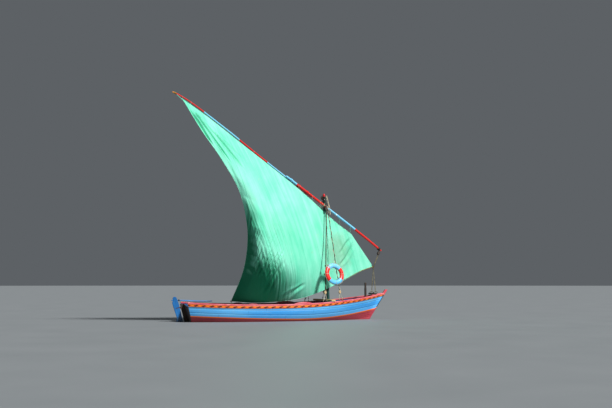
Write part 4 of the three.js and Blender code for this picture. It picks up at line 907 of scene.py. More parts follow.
def build_frames():
    """Each rib is the section's own curve between two depths inside the planking, over the keel from
    gunwale to gunwale. The keelson lies on the ribs, and a level riser runs inside them on each side."""
    v = np.linspace(0, 1, 34)[:, None]
    depth = (RIB_OUT + (RIB_IN - RIB_OUT) * TALL)[None]
    parts = []
    for k in range(RIBS):
        u = level_u(RIB_FIRST + RIB_APART * k + RIB_HALF * (2 * WIDE - 1))[None]
        port = hull_point(*np.broadcast_arrays(u, v, depth))
        foot = hull_point(u, 0 * u)[..., 2] + KEEL_TOP + 0.0015 + depth - RIB_OUT
        port[..., 2] = np.maximum(port[..., 2], foot)
        port[-1, :, 2] -= 0.003
        centre = port[:1] * [1, 0, 1]
        centre[..., 2] = foot
        parts.append(loft(np.concatenate([port[::-1], centre, port * [1, -1, 1]])))
    u = level_u(np.linspace(-2.954, 2.694, 60))
    line = hull_point(u, 0 * u) * [1, 0, 1] + [0, 0, KEEL_TOP + RIB_IN - RIB_OUT + 0.025]
    parts.append(loft(carry(rounded(0.045, 0.037, 0.006, 2), line)))
    piece("ribs_and_keelson", parts, "hull", CROSS_TIMBER, ["frames_and_keelson"])
    u = np.linspace(0.07, 0.93, 90)[:, None]
    deep = (RIB_IN + 0.0015 + 0.0245 * WIDE)[None]
    height = (0.238 + 0.062 * TALL)[None]
    riser = level_point(*np.broadcast_arrays(u, height, deep))
    riser[..., 2] = height
    for side, sign in SIDES:
        part = loft(riser * MIRROR[sign])
        piece(f"riser_{side}", [part], "hull", TIMBER, [f"thwart_riser_{side}"])


def fore_and_aft(x0, x1, near, far, low, thick, count, gap=0.004):
    """Planks side by side that run fore and aft, between two half-breadths that are functions of x."""
    x = np.linspace(x0, x1, 40)
    parts = []
    for k in range(count):
        inner, outer = (near(x) + (far(x) - near(x)) * (k + q) / count for q in (0, 1))
        y = inner[:, None] + gap / 2 + (outer - inner - gap)[:, None] * WIDE
        parts.append(loft(np.stack(np.broadcast_arrays(x[:, None], y, low + thick * TALL), -1)))
    return parts


def athwart(x0, x1, low, thick, reach, count, gap=0.004):
    """Planks side by side that run athwart, each as far as a half-breadth that is a function of x."""
    share = np.linspace(-1, 1, 30)[:, None]
    parts = []
    for k in range(count):
        a, b = (x0 + (x1 - x0) * (k + q) / count for q in (0, 1))
        x = (a + gap / 2 + (b - a - gap) * WIDE)[None]
        parts.append(loft(np.stack(np.broadcast_arrays(x, share * reach(x), low + thick * TALL), -1)))
    return parts


FLOOR_RUN = (-2.5, 1.36)  # from aft to fore
FLOOR_LOW, FLOOR_THICK, FLOOR_HALF = -0.105, 0.02, 0.15
THWART_LOW, THWART_THICK = 0.3005, 0.034
THWART_ENDS = 0.3105  # the height at which its ends meet the side
THWARTS = [  # name, x, width
    ("aft_thwart", -2.09, 0.24),
    ("middle_thwart", -0.41, 0.22),
    ("fore_thwart", 0.71, 0.22),
]


def build_fittings():
    """Floorboards, thwarts, the seat, the foredeck and the beams, plank by plank, and the samson post."""
    middle = (lambda x: 0 * x - FLOOR_HALF, lambda x: 0 * x + FLOOR_HALF)
    aside = (lambda x: 0 * x + FLOOR_HALF + 0.008, lambda x: inside_y(x, FLOOR_LOW, RIB_IN + 0.014))
    centre = fore_and_aft(*FLOOR_RUN, *middle, FLOOR_LOW, FLOOR_THICK, 3)
    piece("floor_centre", centre, "hull", TIMBER, ["floorboard_centre"])
    boards = fore_and_aft(*FLOOR_RUN, *aside, FLOOR_LOW, FLOOR_THICK, 4)
    for side, sign in SIDES:
        parts = mirrored(boards, sign)
        piece(f"floor_{side}", parts, "hull", TIMBER, [f"floorboard_{side}"])
    for name, x, width in THWARTS:
        reach = lambda x: inside_y(x, THWART_ENDS, 0.036)
        planks = athwart(x - width / 2, x + width / 2, THWART_LOW, THWART_THICK, reach, 2)
        piece(f"{name}_planks", planks, "hull", CROSS_TIMBER, [name])
    over = float(inside_y(point(1.405), 0.583, 0.0)[0]) + 0.052
    beam = athwart(1.335, 1.475, float(rail_top(1.475)) + 0.004, 0.062, lambda x: 0 * x + over, 1, 0)
    piece("mast_beam_timber", beam, "hull", PALE, ["mast_beam"])
    seat = athwart(-3.47, -2.96, 0.47, 0.03, lambda x: inside_y(x, 0.47, 0.087), 4)
    piece("stern_seat_planks", seat, "hull", SEAT, ["stern_seat"])
    deck = athwart(2.96, 3.34, 0.69, 0.026, lambda x: inside_y(x, 0.69, 0.089), 3)
    piece("foredeck_planks", deck, "hull", DARK_ACROSS, ["foredeck"])
    low = float(rail_top(3.35)) + 0.012
    over = float(inside_y(point(3.29), low - 2 * RAIL_HIGH, 0.0)[0]) + 0.03
    beam = athwart(3.23, 3.35, low, 0.046, lambda x: 0 * x + over, 1, 0)
    piece("bow_beam_timber", beam, "hull", DARK_ACROSS, ["bow_beam"])
    z = point(0.7165, 0.73, 1.1, 1.13, 1.15, 1.25, 1.27, 1.3, 1.312, 1.318)
    share = point(0.96, 1, 1, 0.94, 0.86, 0.86, 0.96, 0.98, 0.86, 0.6)
    post = rounded(0.032, 0.032, 0.006)[None] * share[:, None, None]
    rings = np.concatenate([post + [3.01, 0], np.broadcast_to(z[:, None, None], (*post.shape[:2], 1))], -1)
    piece("samson_post_timber", [loft(rings)], "hull", DARK, ["samson_post"])


def build_floor():
    """A wide level floor at the waterline, open where the hull stands in it."""
    edge = level_point(np.linspace(0, 1, 120), 0.0, 0.008)
    edge[:, 2] = 0
    loop = np.concatenate([edge, edge[::-1] * [1, -1, 1]])
    turn = np.unwrap(np.arctan2(loop[:, 1], loop[:, 0]))
    far = np.stack([400 * np.cos(turn), 400 * np.sin(turn), np.zeros_like(turn)], -1)
    k = np.arange(len(loop))
    after = (k + 1) % len(loop)
    mesh = bpy.data.meshes.new("floor")
    faces = np.stack([k, after, after + len(loop), k + len(loop)], -1)
    mesh.from_pydata(np.concatenate([loop, far]), [], faces)
    mesh.materials.append(FLOOR)
    floor = bpy.data.objects.new("floor", mesh)
    bpy.context.collection.objects.link(floor)


# The mast and what hangs on it.
def mast_at(z, aft=0.0, port=0.0):
    """The mast's straight centre line, 0.189 m further aft in every 4.7 m of height, moved aft and to
    port."""
    z = np.asarray(z, float)
    return np.stack([1.597 - 0.189 * (z + 0.2) / 4.7 - aft, 0 * z + port, z], -1)


def mast_radius(z):
    """An even taper up to 4.43 m, then a rounded head."""
    return np.interp(z, [-0.2, 4.43, 4.48, 4.495, 4.5], [0.062, 0.0463, 0.038, 0.024, 0.014])


def knots(count, length, height, seed):
    """Swellings of a natural pole: a few Gaussian bumps on its radius."""
    draw = np.random.default_rng(seed)
    s = np.linspace(0, 1, length)
    places, sizes = draw.uniform(0, 1, count), draw.uniform(0.3, 1, count)
    return 1 + height * (sizes * np.exp(-(((s[:, None] - places) / 0.012) ** 2))).sum(-1)


def build_mast():
    """A pole on the mast's raked line, with a rounded head and two sets of turns round it near the top."""
    z = np.concatenate([np.linspace(-0.19, 4.42, 120), [4.43, 4.45, 4.465, 4.48, 4.49, 4.496, 4.5]])
    pole_rings = pole(mast_at(z), mast_radius(z) * knots(7, len(z), 0.03, 5), 28)
    piece("mast_pole", [loft(pole_rings)], "hull", MAST, ["mast"])
    turns = []
    for up, count, high in ((4.3, 3, 0.06), (4.37, 2, 0.04)):
        reach = mast_radius(up) + 0.011
        turns.append(rope(wound(mast_at(up), (0, 0, 1), (1, 0, 0), reach, reach, count, high), 0.011))
    piece("masthead_turns", turns, "hull", TARRED)


def build_block(centre, axis, across, size):
    """A wooden block: two cheeks whose half-width follows a half ellipse along the axis, a sheave between
    them on a pin, and a strop in the score round them. Returns the wooden parts and the strop."""
    axis, across = unit(np.asarray(axis, float)), unit(np.asarray(across, float))
    h = np.cos(np.linspace(np.pi, 0, 18)) * 0.985
    half = size * 0.66 * np.sqrt(1 - h**2)
    line = centre + axis * (h * size)[:, None]
    shape = rounded(0.5, 0.5, 0.25) * np.stack([2 * half, 0 * half + size * 0.3], -1)[:, None]
    wood = [loft(carry(shape, line + across * size * q, across)) for q in (-0.34, 0.34)]
    for reach, radius, sides in ((0.2, 0.5, 20), (0.54, 0.12, 12)):  # the sheave and its pin
        bar = straight(centre - across * size * reach, centre + across * size * reach, 6)
        wood.append(loft(pole(bar, size * radius, sides, axis)))
    strop = rope(wound(centre, across, axis, size * 1.06, size * 0.74, 2, size * 0.5), size * 0.12, across, 9)
    return wood, strop


SHROUDS = [  # name, x at the rail, distance up to the block, shift aft at the mast
    ("aft", 1.09, 0.33, 0.015),
    ("fore", 1.725, 0.3, -0.015),
]
SHROUD_TOP, SHROUD_BEND = 4.29, 4.09  # heights on the mast
SHROUD_CLEAR = 0.235  # how far off the mast's middle the starboard ones pass the yard
EYE_UP = 0.062  # from the block up to the shroud's end
LANYARD_APART = 0.07
HELIX_TURNS = 7.5


def shroud_line(side, x, shift):
    """A shroud's foot at the gunwale, its bend where it passes the yard, and its top at the mast. The port
    ones are straight."""
    y = float(inside_y(point(x), rail_top(x) - RAIL_HIGH - 0.015, 0.0)[0]) + 0.004
    foot = point(x, y, rail_top(x) + 0.012)
    top = mast_at(SHROUD_TOP, shift, mast_radius(SHROUD_TOP) + 0.012)
    if side == "starboard":
        return foot, mast_at(SHROUD_BEND, shift, SHROUD_CLEAR), top
    return foot, top * 0.94 + foot * 0.06, top


def build_shrouds():
    """Each shroud is a tarred rope from the masthead to a block, set up by two lanyards to iron eyes on the
    gunwale; the lanyards' ends are hitched above the eyes. A second rope runs beside each aft shroud, and
    as a helix of seven and a half turns round each fore one."""
    for side, sign in SIDES:
        for name, x, up, shift in SHROUDS:
            foot, bend, top = shroud_line(side, x, shift)
            way = unit(bend - foot)
            block = foot + way * up
            below = straight(foot + way * (up + EYE_UP), bend, 60)
            run = np.concatenate([below, straight(bend, top, 12)[1:]])
            run[55:66] = curve(run[[55, 60, 65]], np.linspace(0, 1, 11))
            spliced = wound(foot + way * (up + EYE_UP + 0.09), way, (1, 0, 0), 0.014, 0.014, 12, 0.12)
            ropes = [rope(run, 0.0125), rope(spliced, 0.004, sides=6)]
            wood, strop = build_block(block, way, (0, 1, 0), 0.056)
            second = straight(block + way * 0.05, bend - way * 0.05, 240)
            turn = np.linspace(0, 2 * np.pi * HELIX_TURNS * (name == "fore"), 240)[:, None]
            second = second + 0.021 * (point(1, 0, 0) * np.cos(turn) + point(0, 1, 0) * np.sin(turn))
            seconds = [rope(second, 0.0095)]
            lines, iron = [strop], []
            for d in (-LANYARD_APART, LANYARD_APART):
                eye = foot + [d, 0, 0]
                low = block + [d * 0.1, 0, -0.02]
                lines.append(rope(straight(eye + [0, 0, 0.016], low), 0.0065))
                hitch = eye + (low - eye) * 0.3
                lines.append(rope(wound(hitch, low - eye, (0, 1, 0), 0.011, 0.011, 5, 0.055), 0.0055))
                ring = wound(eye + [0, 0, 0.004], (1, 0, 0), (0, 0, 1), 0.02, 0.02, 0.999, 0.0)
                iron.append(loft(pole(ring, 0.005, 8, (1, 0, 0))))
            for label, parts, finish, slot, solids in (
                ("shroud_rope", ropes, TARRED, "tarred_rope", [f"shroud_{side}_{name}"]),
                ("shroud_second", seconds, COIR if name == "aft" else ROPE, "rope", ()),
                ("shroud_tackle", wood, BLOCKWOOD, "bare_wood", [f"shroud_block_{side}_{name}"]),
                ("lanyards", lines, ROPE, "rope", ()),
                ("eyes", iron, IRON, "iron", ()),
            ):
                piece(f"{label}_{side}_{name}", mirrored(parts, sign), "hull", finish, solids)


def build_upper_blocks():
    """A block hangs on each aft shroud, under the yard."""
    for side, sign in SIDES:
        _, x, _, shift = SHROUDS[0]
        foot, bend, _ = shroud_line(side, x, shift)
        way = unit(bend - foot)
        wood, strop = build_block(bend - way * 0.16, way, (0, 1, 0), 0.07)
        piece(f"upper_block_{side}", mirrored(wood, sign), "hull", DARK)
        piece(f"upper_strop_{side}", mirrored([strop], sign), "hull", TARRED)


def build_halyard():
    """The halyard's fall, its head block abaft the mast, and a made-up hank on the thwart's end."""
    top = mast_at(4.33, mast_radius(4.33) + 0.014, 0.012)
    foot = point(0.76, 0.42, 0.34)
    wood, strop = build_block(top + [-0.004, 0.006, 0.02], (0.05, 0, 1), (0, 1, 0), 0.06)
    hank = wound(foot + [-0.03, 0.02, 0.012], (0, 0, 1), (1, 0, 0), 0.1, 0.055, 5, 0.03)
    line = [rope(straight(foot, top), 0.01), rope(hank, 0.009)]
    piece("halyard_rope", line, "hull", ROPE, ["halyard"])
    piece("halyard_block", wood, "hull", DARK)
    piece("halyard_strop", [strop], "hull", TARRED)


BUOY_AT = point(1.49, -0.818, 1.612)
BUOY_FORE, BUOY_UP = point(0.978, 0.208, 0), point(-0.0538, 0.253, 0.966)
BUOY_OUT = point(0.2008, -0.945, 0.259)
BUOY_RING, BUOY_HALF, BUOY_THICK = 0.302, 0.078, 0.055  # the ring's radius, and its section's two
BUOY_TIES = [(180, "aft"), (122, "aft"), (60, "fore"), (-58, "fore")]  # degrees round the ring, shroud


def round_buoy(turn, radius=BUOY_RING):
    """Points round the buoy's ring at a radius, by the cosine and sine of the turn."""
    turn = np.asarray(turn, float)[..., None]
    return BUOY_AT + (BUOY_FORE * np.cos(turn) + BUOY_UP * np.sin(turn)) * radius


def build_buoy():
    """A ring of oval section, whose grab line bows out between four seizings, lashed to both shrouds."""
    turn = np.linspace(0, 2 * np.pi, 97)[:-1]
    section = circle(28) * [BUOY_HALF, BUOY_THICK]
    middle = round_buoy(turn)
    rings = middle[:, None] + unit(middle - BUOY_AT)[:, None] * section[..., :1] + BUOY_OUT * section[..., 1:]
    ring = loft(rings, along=np.linspace(0, 1, 97), closed=True)
    piece("lifebuoy_ring", [ring], "hull", BUOY, ["lifebuoy"])
    turn = np.linspace(0, 2 * np.pi, 400)
    line = BUOY_AT + (round_buoy(turn, 1.0) - BUOY_AT) * (0.3835 + 0.008 * np.abs(np.sin(2 * turn)))[:, None]
    lines = [rope(line, 0.0045, BUOY_OUT, 9)]
    for quarter in np.arange(4) * np.pi / 2:
        along = round_buoy(quarter + np.pi / 2, 1.0) - BUOY_AT
        seizing = wound(round_buoy(quarter), along, BUOY_OUT, BUOY_THICK + 0.002, BUOY_HALF + 0.003, 3, 0.012)
        lines.append(rope(seizing, 0.0022, sides=9))
    piece("lifebuoy_line", lines, "hull", ROPE)
    ties = []
    for degrees, name in BUOY_TIES:
        x, _, shift = next(row[1:] for row in SHROUDS if row[0] == name)
        foot, bend = (p * MIRROR[-1] for p in shroud_line("starboard", x, shift)[:2])
        near = round_buoy(math.radians(degrees))
        on_shroud = foot + (bend - foot) * (near[2] - foot[2]) / (bend[2] - foot[2])
        along = round_buoy(math.radians(degrees) + np.pi / 2, 1.0) - BUOY_AT
        reach = float(np.linalg.norm(on_shroud - near)) / 2 + 0.045
        path = wound((near + on_shroud) / 2, along, on_shroud - near, reach, 0.086, 3, 0.035)
        ties.append(rope(path, 0.006, along, 9))
    piece("lifebuoy_ties", ties, "hull", ROPE)


# Rudder.
RUDDER_FORE = ([-0.4, 0.655, 0.7, 0.8, 0.82, 0.832, 0.838], [0, 0, -0.02, -0.02, -0.032, -0.05, -0.075])
RUDDER_AFT = (
    [-0.4, -0.25, -0.06, 0.15, 0.56, 0.64, 0.66, 0.7, 0.79, 0.815, 0.83, 0.838],
    [-0.3, -0.33, -0.25, -0.18, -0.212, -0.21, -0.2, -0.17, -0.158, -0.142, -0.12, -0.09],
)
TILLER_X, TILLER_Z = [-3.96, -3.8323, -3.5, -3.05, -2.65], [0.722, 0.721, 0.706, 0.69, 0.69]
TILLER_RADII = [0.012, 0.019, 0.022, 0.02, 0.017]


def rudder_line(z):
    """The rudder's fore edge: x on a raked straight line."""
    return -3.8 - 0.265 * (z - 0.6)


def build_rudder():
    """The blade is a run of level sections between its fore and aft edges, tapered to the aft edge, with a
    groove between its two boards. The tiller is a round bar on a path, with a flat tongue through the
    blade's head."""
    z = np.concatenate([np.linspace(-0.4, 0.8, 60), [0.81, 0.82, 0.828, 0.834, 0.838]])
    fore, aft = (rudder_line(z) - 0.004 + np.interp(z, *edge) for edge in (RUDDER_FORE, RUDDER_AFT))
    boards = np.linspace(0.05, 0.46, 5), np.linspace(0.52, 0.95, 6)
    share = np.concatenate([[0, 0.005, 0.02], boards[0], [0.48, 0.49, 0.5], boards[1], [0.98, 0.995, 1]])
    nose = np.minimum(1, np.sqrt(1 - np.clip(1 - share / 0.02, 0, 1) ** 2) + 0.3)
    half = 0.022 * (1 - 0.3 * share**2) * nose
    half = half * np.where(share > 0.95, np.sqrt(1 - (np.maximum(share - 0.95, 0) / 0.05) ** 2 * 0.85), 1)
    half = half - SEAM_DEEP * (np.abs(share - 0.49) < 0.005)
    x = fore[:, None] + (aft - fore)[:, None] * np.concatenate([share, share[::-1]])
    y = np.broadcast_to(np.concatenate([half, -half[::-1]]), x.shape)
    rings = np.stack([x, y, np.broadcast_to(z[:, None], x.shape)], -1)
    piece("rudder_board", [loft(rings)], "rudder", BLADE, ["rudder_blade"])
    line = curve([(a, 0, b) for a, b in zip(TILLER_X[1:], TILLER_Z[1:])], np.linspace(0, 1, 60))
    radius = np.interp(line[:, 0], TILLER_X, TILLER_RADII)
    radius[-3:] *= point(0.9, 0.75, 0.4)
    height = TILLER_Z[0]
    run = straight((rudder_line(height) - 0.215, 0, height), (TILLER_X[1] + 0.01, 0, TILLER_Z[1]), 8)
    tongue = carry(rounded(0.012, 0.018, 0.003), run)
    parts = [loft(pole(line, radius, 18)), loft(tongue)]
    turns = wound((TILLER_X[1] + 0.03, 0, 0.72), (1, 0, 0), (0, 1, 0), 0.024, 0.024, 4, 0.05)
    piece("tiller_bar", parts, "rudder", TILLER_PAINT, ["tiller"])
    piece("tiller_whipping", [rope(turns, 0.005)], "rudder", TARRED)


def finish_kept_nodes():
    """CAD nodes whose own shape is right take their real finish."""
    finishes = {"keel": KEEL, "sternpost": DARK, "mast_step": CROSS_TIMBER}
    finishes |= {f"{iron}_{end}": IRON for iron in ("gudgeon", "pintle") for end in ("upper", "lower")}
    for name, finish in finishes.items():
        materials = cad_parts[name].data.materials
        materials.clear()
        materials.append(finish)


# Sail and yard.
YARD_ANGLE = math.radians(18)  # in plan, heel to port and peak to starboard
CROSSING = point(1.395, -0.114, 4.09)
PLAN = point(math.cos(YARD_ANGLE), math.sin(YARD_ANGLE), 0)
PORTWARD = point(-PLAN[1], PLAN[0], 0)
HEEL = CROSSING + PLAN * 2.7 - [0, 0, 1.585]
PEAK = CROSSING - PLAN * 6.185 + [0, 0, 3.27]
YARD_WAY = unit(PEAK - HEEL)
YARD_UP = unit(np.cross(YARD_WAY, PORTWARD))
YARD_UP = YARD_UP * np.sign(YARD_UP[2])
LAP_FROM, LAP_TO = 0.37, 0.5  # shares of the yard's length
LASHINGS = (0.395, 0.435, 0.475)
YARD_RADII = (
    [0, 0.03, 0.1, 0.3, 0.4, LAP_TO, 0.5001, 1],
    [0.038, 0.042, 0.045, 0.045, 0.043, 0.036, 0.031, 0.02],
)
COLLAR_UP, SLINGS_UP = 4.084, 4.41  # heights on the mast
SPARS_APART = 0.084  # between the two spars' centre lines in the lap
PEAK_TIED = 0.99


def yard_at(s):
    """The yard's centre line at a share of its length from the heel: a chord that bows up by 0.114 m."""
    s = np.asarray(s, float)[..., None]
    bend = (0.05 + 0.095 * s * s) * (1 - (1 - s) ** 14) * (1 - s**20)
    return HEEL + (PEAK - HEEL) * s + YARD_UP * bend


def upper_at(s):
    """The upper spar lies to port of the lower one over the lap, and comes back nearly in line beyond."""
    shift = SPARS_APART * (1 - ramp(np.asarray(s, float), LAP_TO, 0.75) ** 2 * 0.9)
    return yard_at(s) + PORTWARD * shift[..., None]


def yard_radius(s):
    """The radius at a share of the yard's length, on straight lines between those of YARD_RADII."""
    return np.interp(s, *YARD_RADII)


def build_yard():
    """Two poles lashed side by side where they overlap: each lashing is a helix round both, with an oval
    section. A collar and slings hold them to the mast."""
    spars = (("lower", 0.0, LAP_TO, yard_at), ("upper", LAP_FROM, 1.0, upper_at))
    for name, first, last, line in spars:
        s = np.linspace(first, last, 150)
        radius = yard_radius(s) if name == "lower" else 0.034 - 0.014 * (s - first) / (last - first)
        radius = radius * knots(9, len(s), 0.05, 3)
        radius[[0, -1]] *= 0.72
        part = loft(pole(line(s), radius, level=PORTWARD), along=s)
        piece(f"yard_{name}_pole", [part], "yard", YARD, [f"yard_{name}_spar"])
    for k, share in enumerate(LASHINGS):
        turn = np.linspace(0, 2 * np.pi * 7, 24 * 7)[:, None]
        way = unit(yard_at(share + 0.01) - yard_at(share - 0.01))
        middle = (yard_at(share) + upper_at(share)) / 2
        side = SPARS_APART / 2 * np.tanh(3 * np.cos(turn)) + 0.05 * np.cos(turn)
        path = middle + PORTWARD * side + np.cross(way, PORTWARD) * 0.05 * np.sin(turn)
        path = path + way * 0.084 * (turn / turn[-1] - 0.5)
        points, faces, uv, finish = rope(path, 0.0062, way, 9)
        banded = (points, faces, uv * [0, 1] + [share, 0], finish)  # the colour of the yard's band there
        piece(f"yard_lashing_turns_{k + 1}", [banded], "yard", YARD, [f"yard_lashing_{k + 1}"])
    turn = np.radians(np.linspace(-28, 208, 40))[:, None]
    round_mast = point(1, 0, 0) * np.cos(turn) + point(0, 1, 0) * np.sin(turn)
    collar = mast_at(COLLAR_UP) + (mast_radius(COLLAR_UP) + 0.02) * round_mast
    way = unit(yard_at(0.314) - yard_at(0.294))
    outer = -PORTWARD * 0.056
    runs = [(wound(yard_at(s), way, YARD_UP, 0.0515, 0.0515, 4, 0.055), 0.0062) for s in (0.295, 0.313)]
    for a, b, up in ((0.292, 0.316, 0.02), (0.316, 0.292, -0.02)):
        runs.append((straight(yard_at(a) + outer + YARD_UP * up, yard_at(b) + outer - YARD_UP * up), 0.008))
    for aside, foot in ((0.062, 0.2885), (0.086, 0.285)):
        top = mast_at(SLINGS_UP) + [aside, -0.05, 0.02]
        runs.append((straight(top, yard_at(foot) + outer * 0.9 + YARD_UP * 0.02), 0.01))
    loop = [yard_at(0.286) + outer, yard_at(0.284) + outer - [0, 0, 0.2], yard_at(0.28) + outer]
    runs.append((curve(loop, np.linspace(0, 1, 30)), 0.008))
    slings = [rope(run, radius, way, 9) for run, radius in runs]
    piece("parrel_rope", [rope(collar, 0.012, (0, 0, 1)), *slings], "yard", ROPE, ["parrel"])
    way = unit(yard_at(PEAK_TIED + 0.005) - yard_at(PEAK_TIED - 0.005))
    peak_turns = wound(upper_at(PEAK_TIED), way, YARD_UP, 0.0255, 0.0255, 9, 0.085)
    piece("peak_lashing", [rope(peak_turns, 0.005, way, 9)], "yard", TWINE)


HEAD = [  # share along the yard, drop below its centre line, offset to starboard
    (0.17, 0.285, 0.03),
    (0.245, 0.3, 0.04),
    (0.31, 0.258, 0.045),
    (0.37, 0.19, 0.045),
    (0.45, 0.13, 0.035),
    (0.58, 0.092, 0.012),
    (0.72, 0.084, 0.0),
    (0.86, 0.072, 0.0),
    (0.965, 0.062, 0.0),
]
FOOT = [
    (3.56, 0.55, 1.907),
    (2.99, 0.375, 1.73),
    (2.3, 0.115, 1.44),
    (1.35, -0.262, 1.086),
    (0.475, -0.575, 0.841),
    (-0.58, -0.95, 0.712),
    (-1.45, -0.86, 0.676),
    (-2.115, -0.48, 0.718),
]
HEAD_POINTS = [yard_at(s) - PORTWARD * side - [0, 0, drop] for s, drop, side in HEAD]
LEECH = [
    HEAD_POINTS[-1],
    (-3.52, -2.0, 6.172),
    (-2.83, -1.92, 5.274),
    (-2.16, -1.74, 4.24),
    (-1.855, -1.5, 3.23),
    (-1.79, -1.28, 2.419),
    (-1.85, -0.96, 1.64),
    (-2.115, -0.48, 0.718),
]
LUFF = 0.14  # share of the sail's breadth that the short luff takes
BELLY = 0.33  # how far the cloth blows to starboard between its edges
LOW_BELLY = 0.42  # and how much further in the low aft part
BELLY_WAY = unit(point(0.15, -1, 0))
TOWARDS = unit(point(-0.33, -0.95, 0))  # the way the leech is moved where it stands flatter
FLATTER, ROLLED, SAG = 0.22, 0.26, 0.03  # how far the upper leech, the lower one and the foot are moved
CLOTH_HALF = 0.0012
LUFF_FROM = 0.012  # the first s, so that the luff has some length
STITCHED, STITCHES = 0.36, 75  # share of the foot, and the turns of twine in it


def sail_point(s, t):
    """The set sail: lines from the head to the foot, pulled aft to the leech's curve by the cube of s, and
    blown to starboard by a belly that is fullest four fifths of the way aft. s is 0 at the luff, t is 0 at
    the head."""
    s, t = np.broadcast_arrays(np.asarray(s, float), np.asarray(t, float))
    foot = curve(FOOT, s)
    head = curve(HEAD_POINTS, (s - LUFF) / (1 - LUFF))
    luff = np.asarray(FOOT[0]) + (HEAD_POINTS[0] - np.asarray(FOOT[0])) * (s / LUFF)[..., None]
    head = np.where((s < LUFF)[..., None], luff, head)
    cloth = head + (foot - head) * t[..., None]
    leech = curve(LEECH, t) - HEAD_POINTS[-1] * (1 - t[..., None]) - np.asarray(FOOT[-1]) * t[..., None]
    cloth = cloth + leech * (s**3)[..., None]
    full = BELLY * np.sin(np.pi * s**3.3) * np.sin(np.pi * t) ** 0.8
    full = full + LOW_BELLY * np.sin(np.pi * ramp(s, 0.45, 1) ** 1.5) * np.sin(np.pi * t**3)
    return cloth + BELLY_WAY * full[..., None]


# Each row: where a set's first crease starts and ends in the picture, where its last one does, the count, the
# half-width in the picture's pixels, and the depth in metres.
CREASES = [
    ((183, 101), (213, 146), (183, 101), (213, 146), 1, 0.65, 0.07),
    ((184, 101), (229, 160), (184, 101), (229, 160), 1, 0.6, 0.05),
    ((186, 102), (243, 168), (186, 102), (243, 168), 1, 0.65, 0.06),
    ((192, 108), (228, 142), (198, 114), (240, 156), 2, 0.6, 0.035),
    ((214, 146), (232, 172), (226, 158), (241, 190), 2, 1.2, 0.012),
    ((249, 212), (246, 240), (252, 216), (250, 246), 2, 0.8, 0.02),
    ((256, 228), (250, 246), (264, 224), (256, 252), 4, 0.7, 0.016),
    ((258, 248), (252, 264), (266, 246), (256, 268), 3, 0.7, 0.02),
    ((268, 240), (261, 256), (277, 232), (268, 254), 3, 0.8, 0.02),
    ((273, 250), (264, 268), (283, 250), (270, 277), 4, 0.9, 0.035),
    ((264, 256), (255, 274), (271, 259), (262, 276), 3, 0.8, 0.025),
    ((284, 262), (262, 292), (279, 268), (268, 292), 2, 1.5, 0.04),
    ((296, 288), (276, 300), (304, 284), (284, 300), 3, 1.3, 0.03),
    ((286, 212), (284, 282), (322, 214), (318, 280), 7, 2.4, 0.008),
    ((350, 237), (341, 252), (352, 246), (341, 264), 2, 1.2, 0.04),
    ((262, 170), (275, 230), (300, 190), (300, 240), 4, 4.0, 0.01),
]
CREASE_DRAW = 11


def creased(cloth, normal):
    """The cloth with its creases: seen from the camera, each is a line with a valley of a Gaussian section
    and a lip on both sides, which fades towards its ends. Lines of a set run evenly between its first and
    last one."""
    draw = np.random.default_rng(CREASE_DRAW)
    seen = seen_at(cloth)
    depth = np.zeros(cloth.shape[:-1])
    for a, b, c, d, count, width, deep in CREASES:
        for k in range(count):
            w = k / max(count - 1, 1)
            jitter = draw.uniform(-0.22, 0.22, 2) / max(count - 1, 1) if count > 1 else np.zeros(2)
            start = np.asarray(a) * (1 - w - jitter[0]) + np.asarray(c) * (w + jitter[0])
            end = np.asarray(b) * (1 - w - jitter[1]) + np.asarray(d) * (w + jitter[1])
            way = end - start
            long = np.linalg.norm(way)
            way = way / long
            along = (seen - start) @ way / long
            bow = draw.uniform(-0.06, 0.06) * min(long, 18)
            aside = (seen - start) @ point(-way[1], way[0]) - bow * 4 * along * (1 - along)
            off = np.abs(aside) / (width * draw.uniform(0.8, 1.2))
            fade = ramp(along, -0.1, 0.25) * ramp(along, 1.12, 0.8)
            fade = fade * fade * (3 - 2 * fade)
            section = 0.45 * np.exp(-((off - 2) ** 2)) - np.exp(-(off**2))
            depth += deep * draw.uniform(0.7, 1.1) * fade * section
    return cloth + normal * depth[..., None]


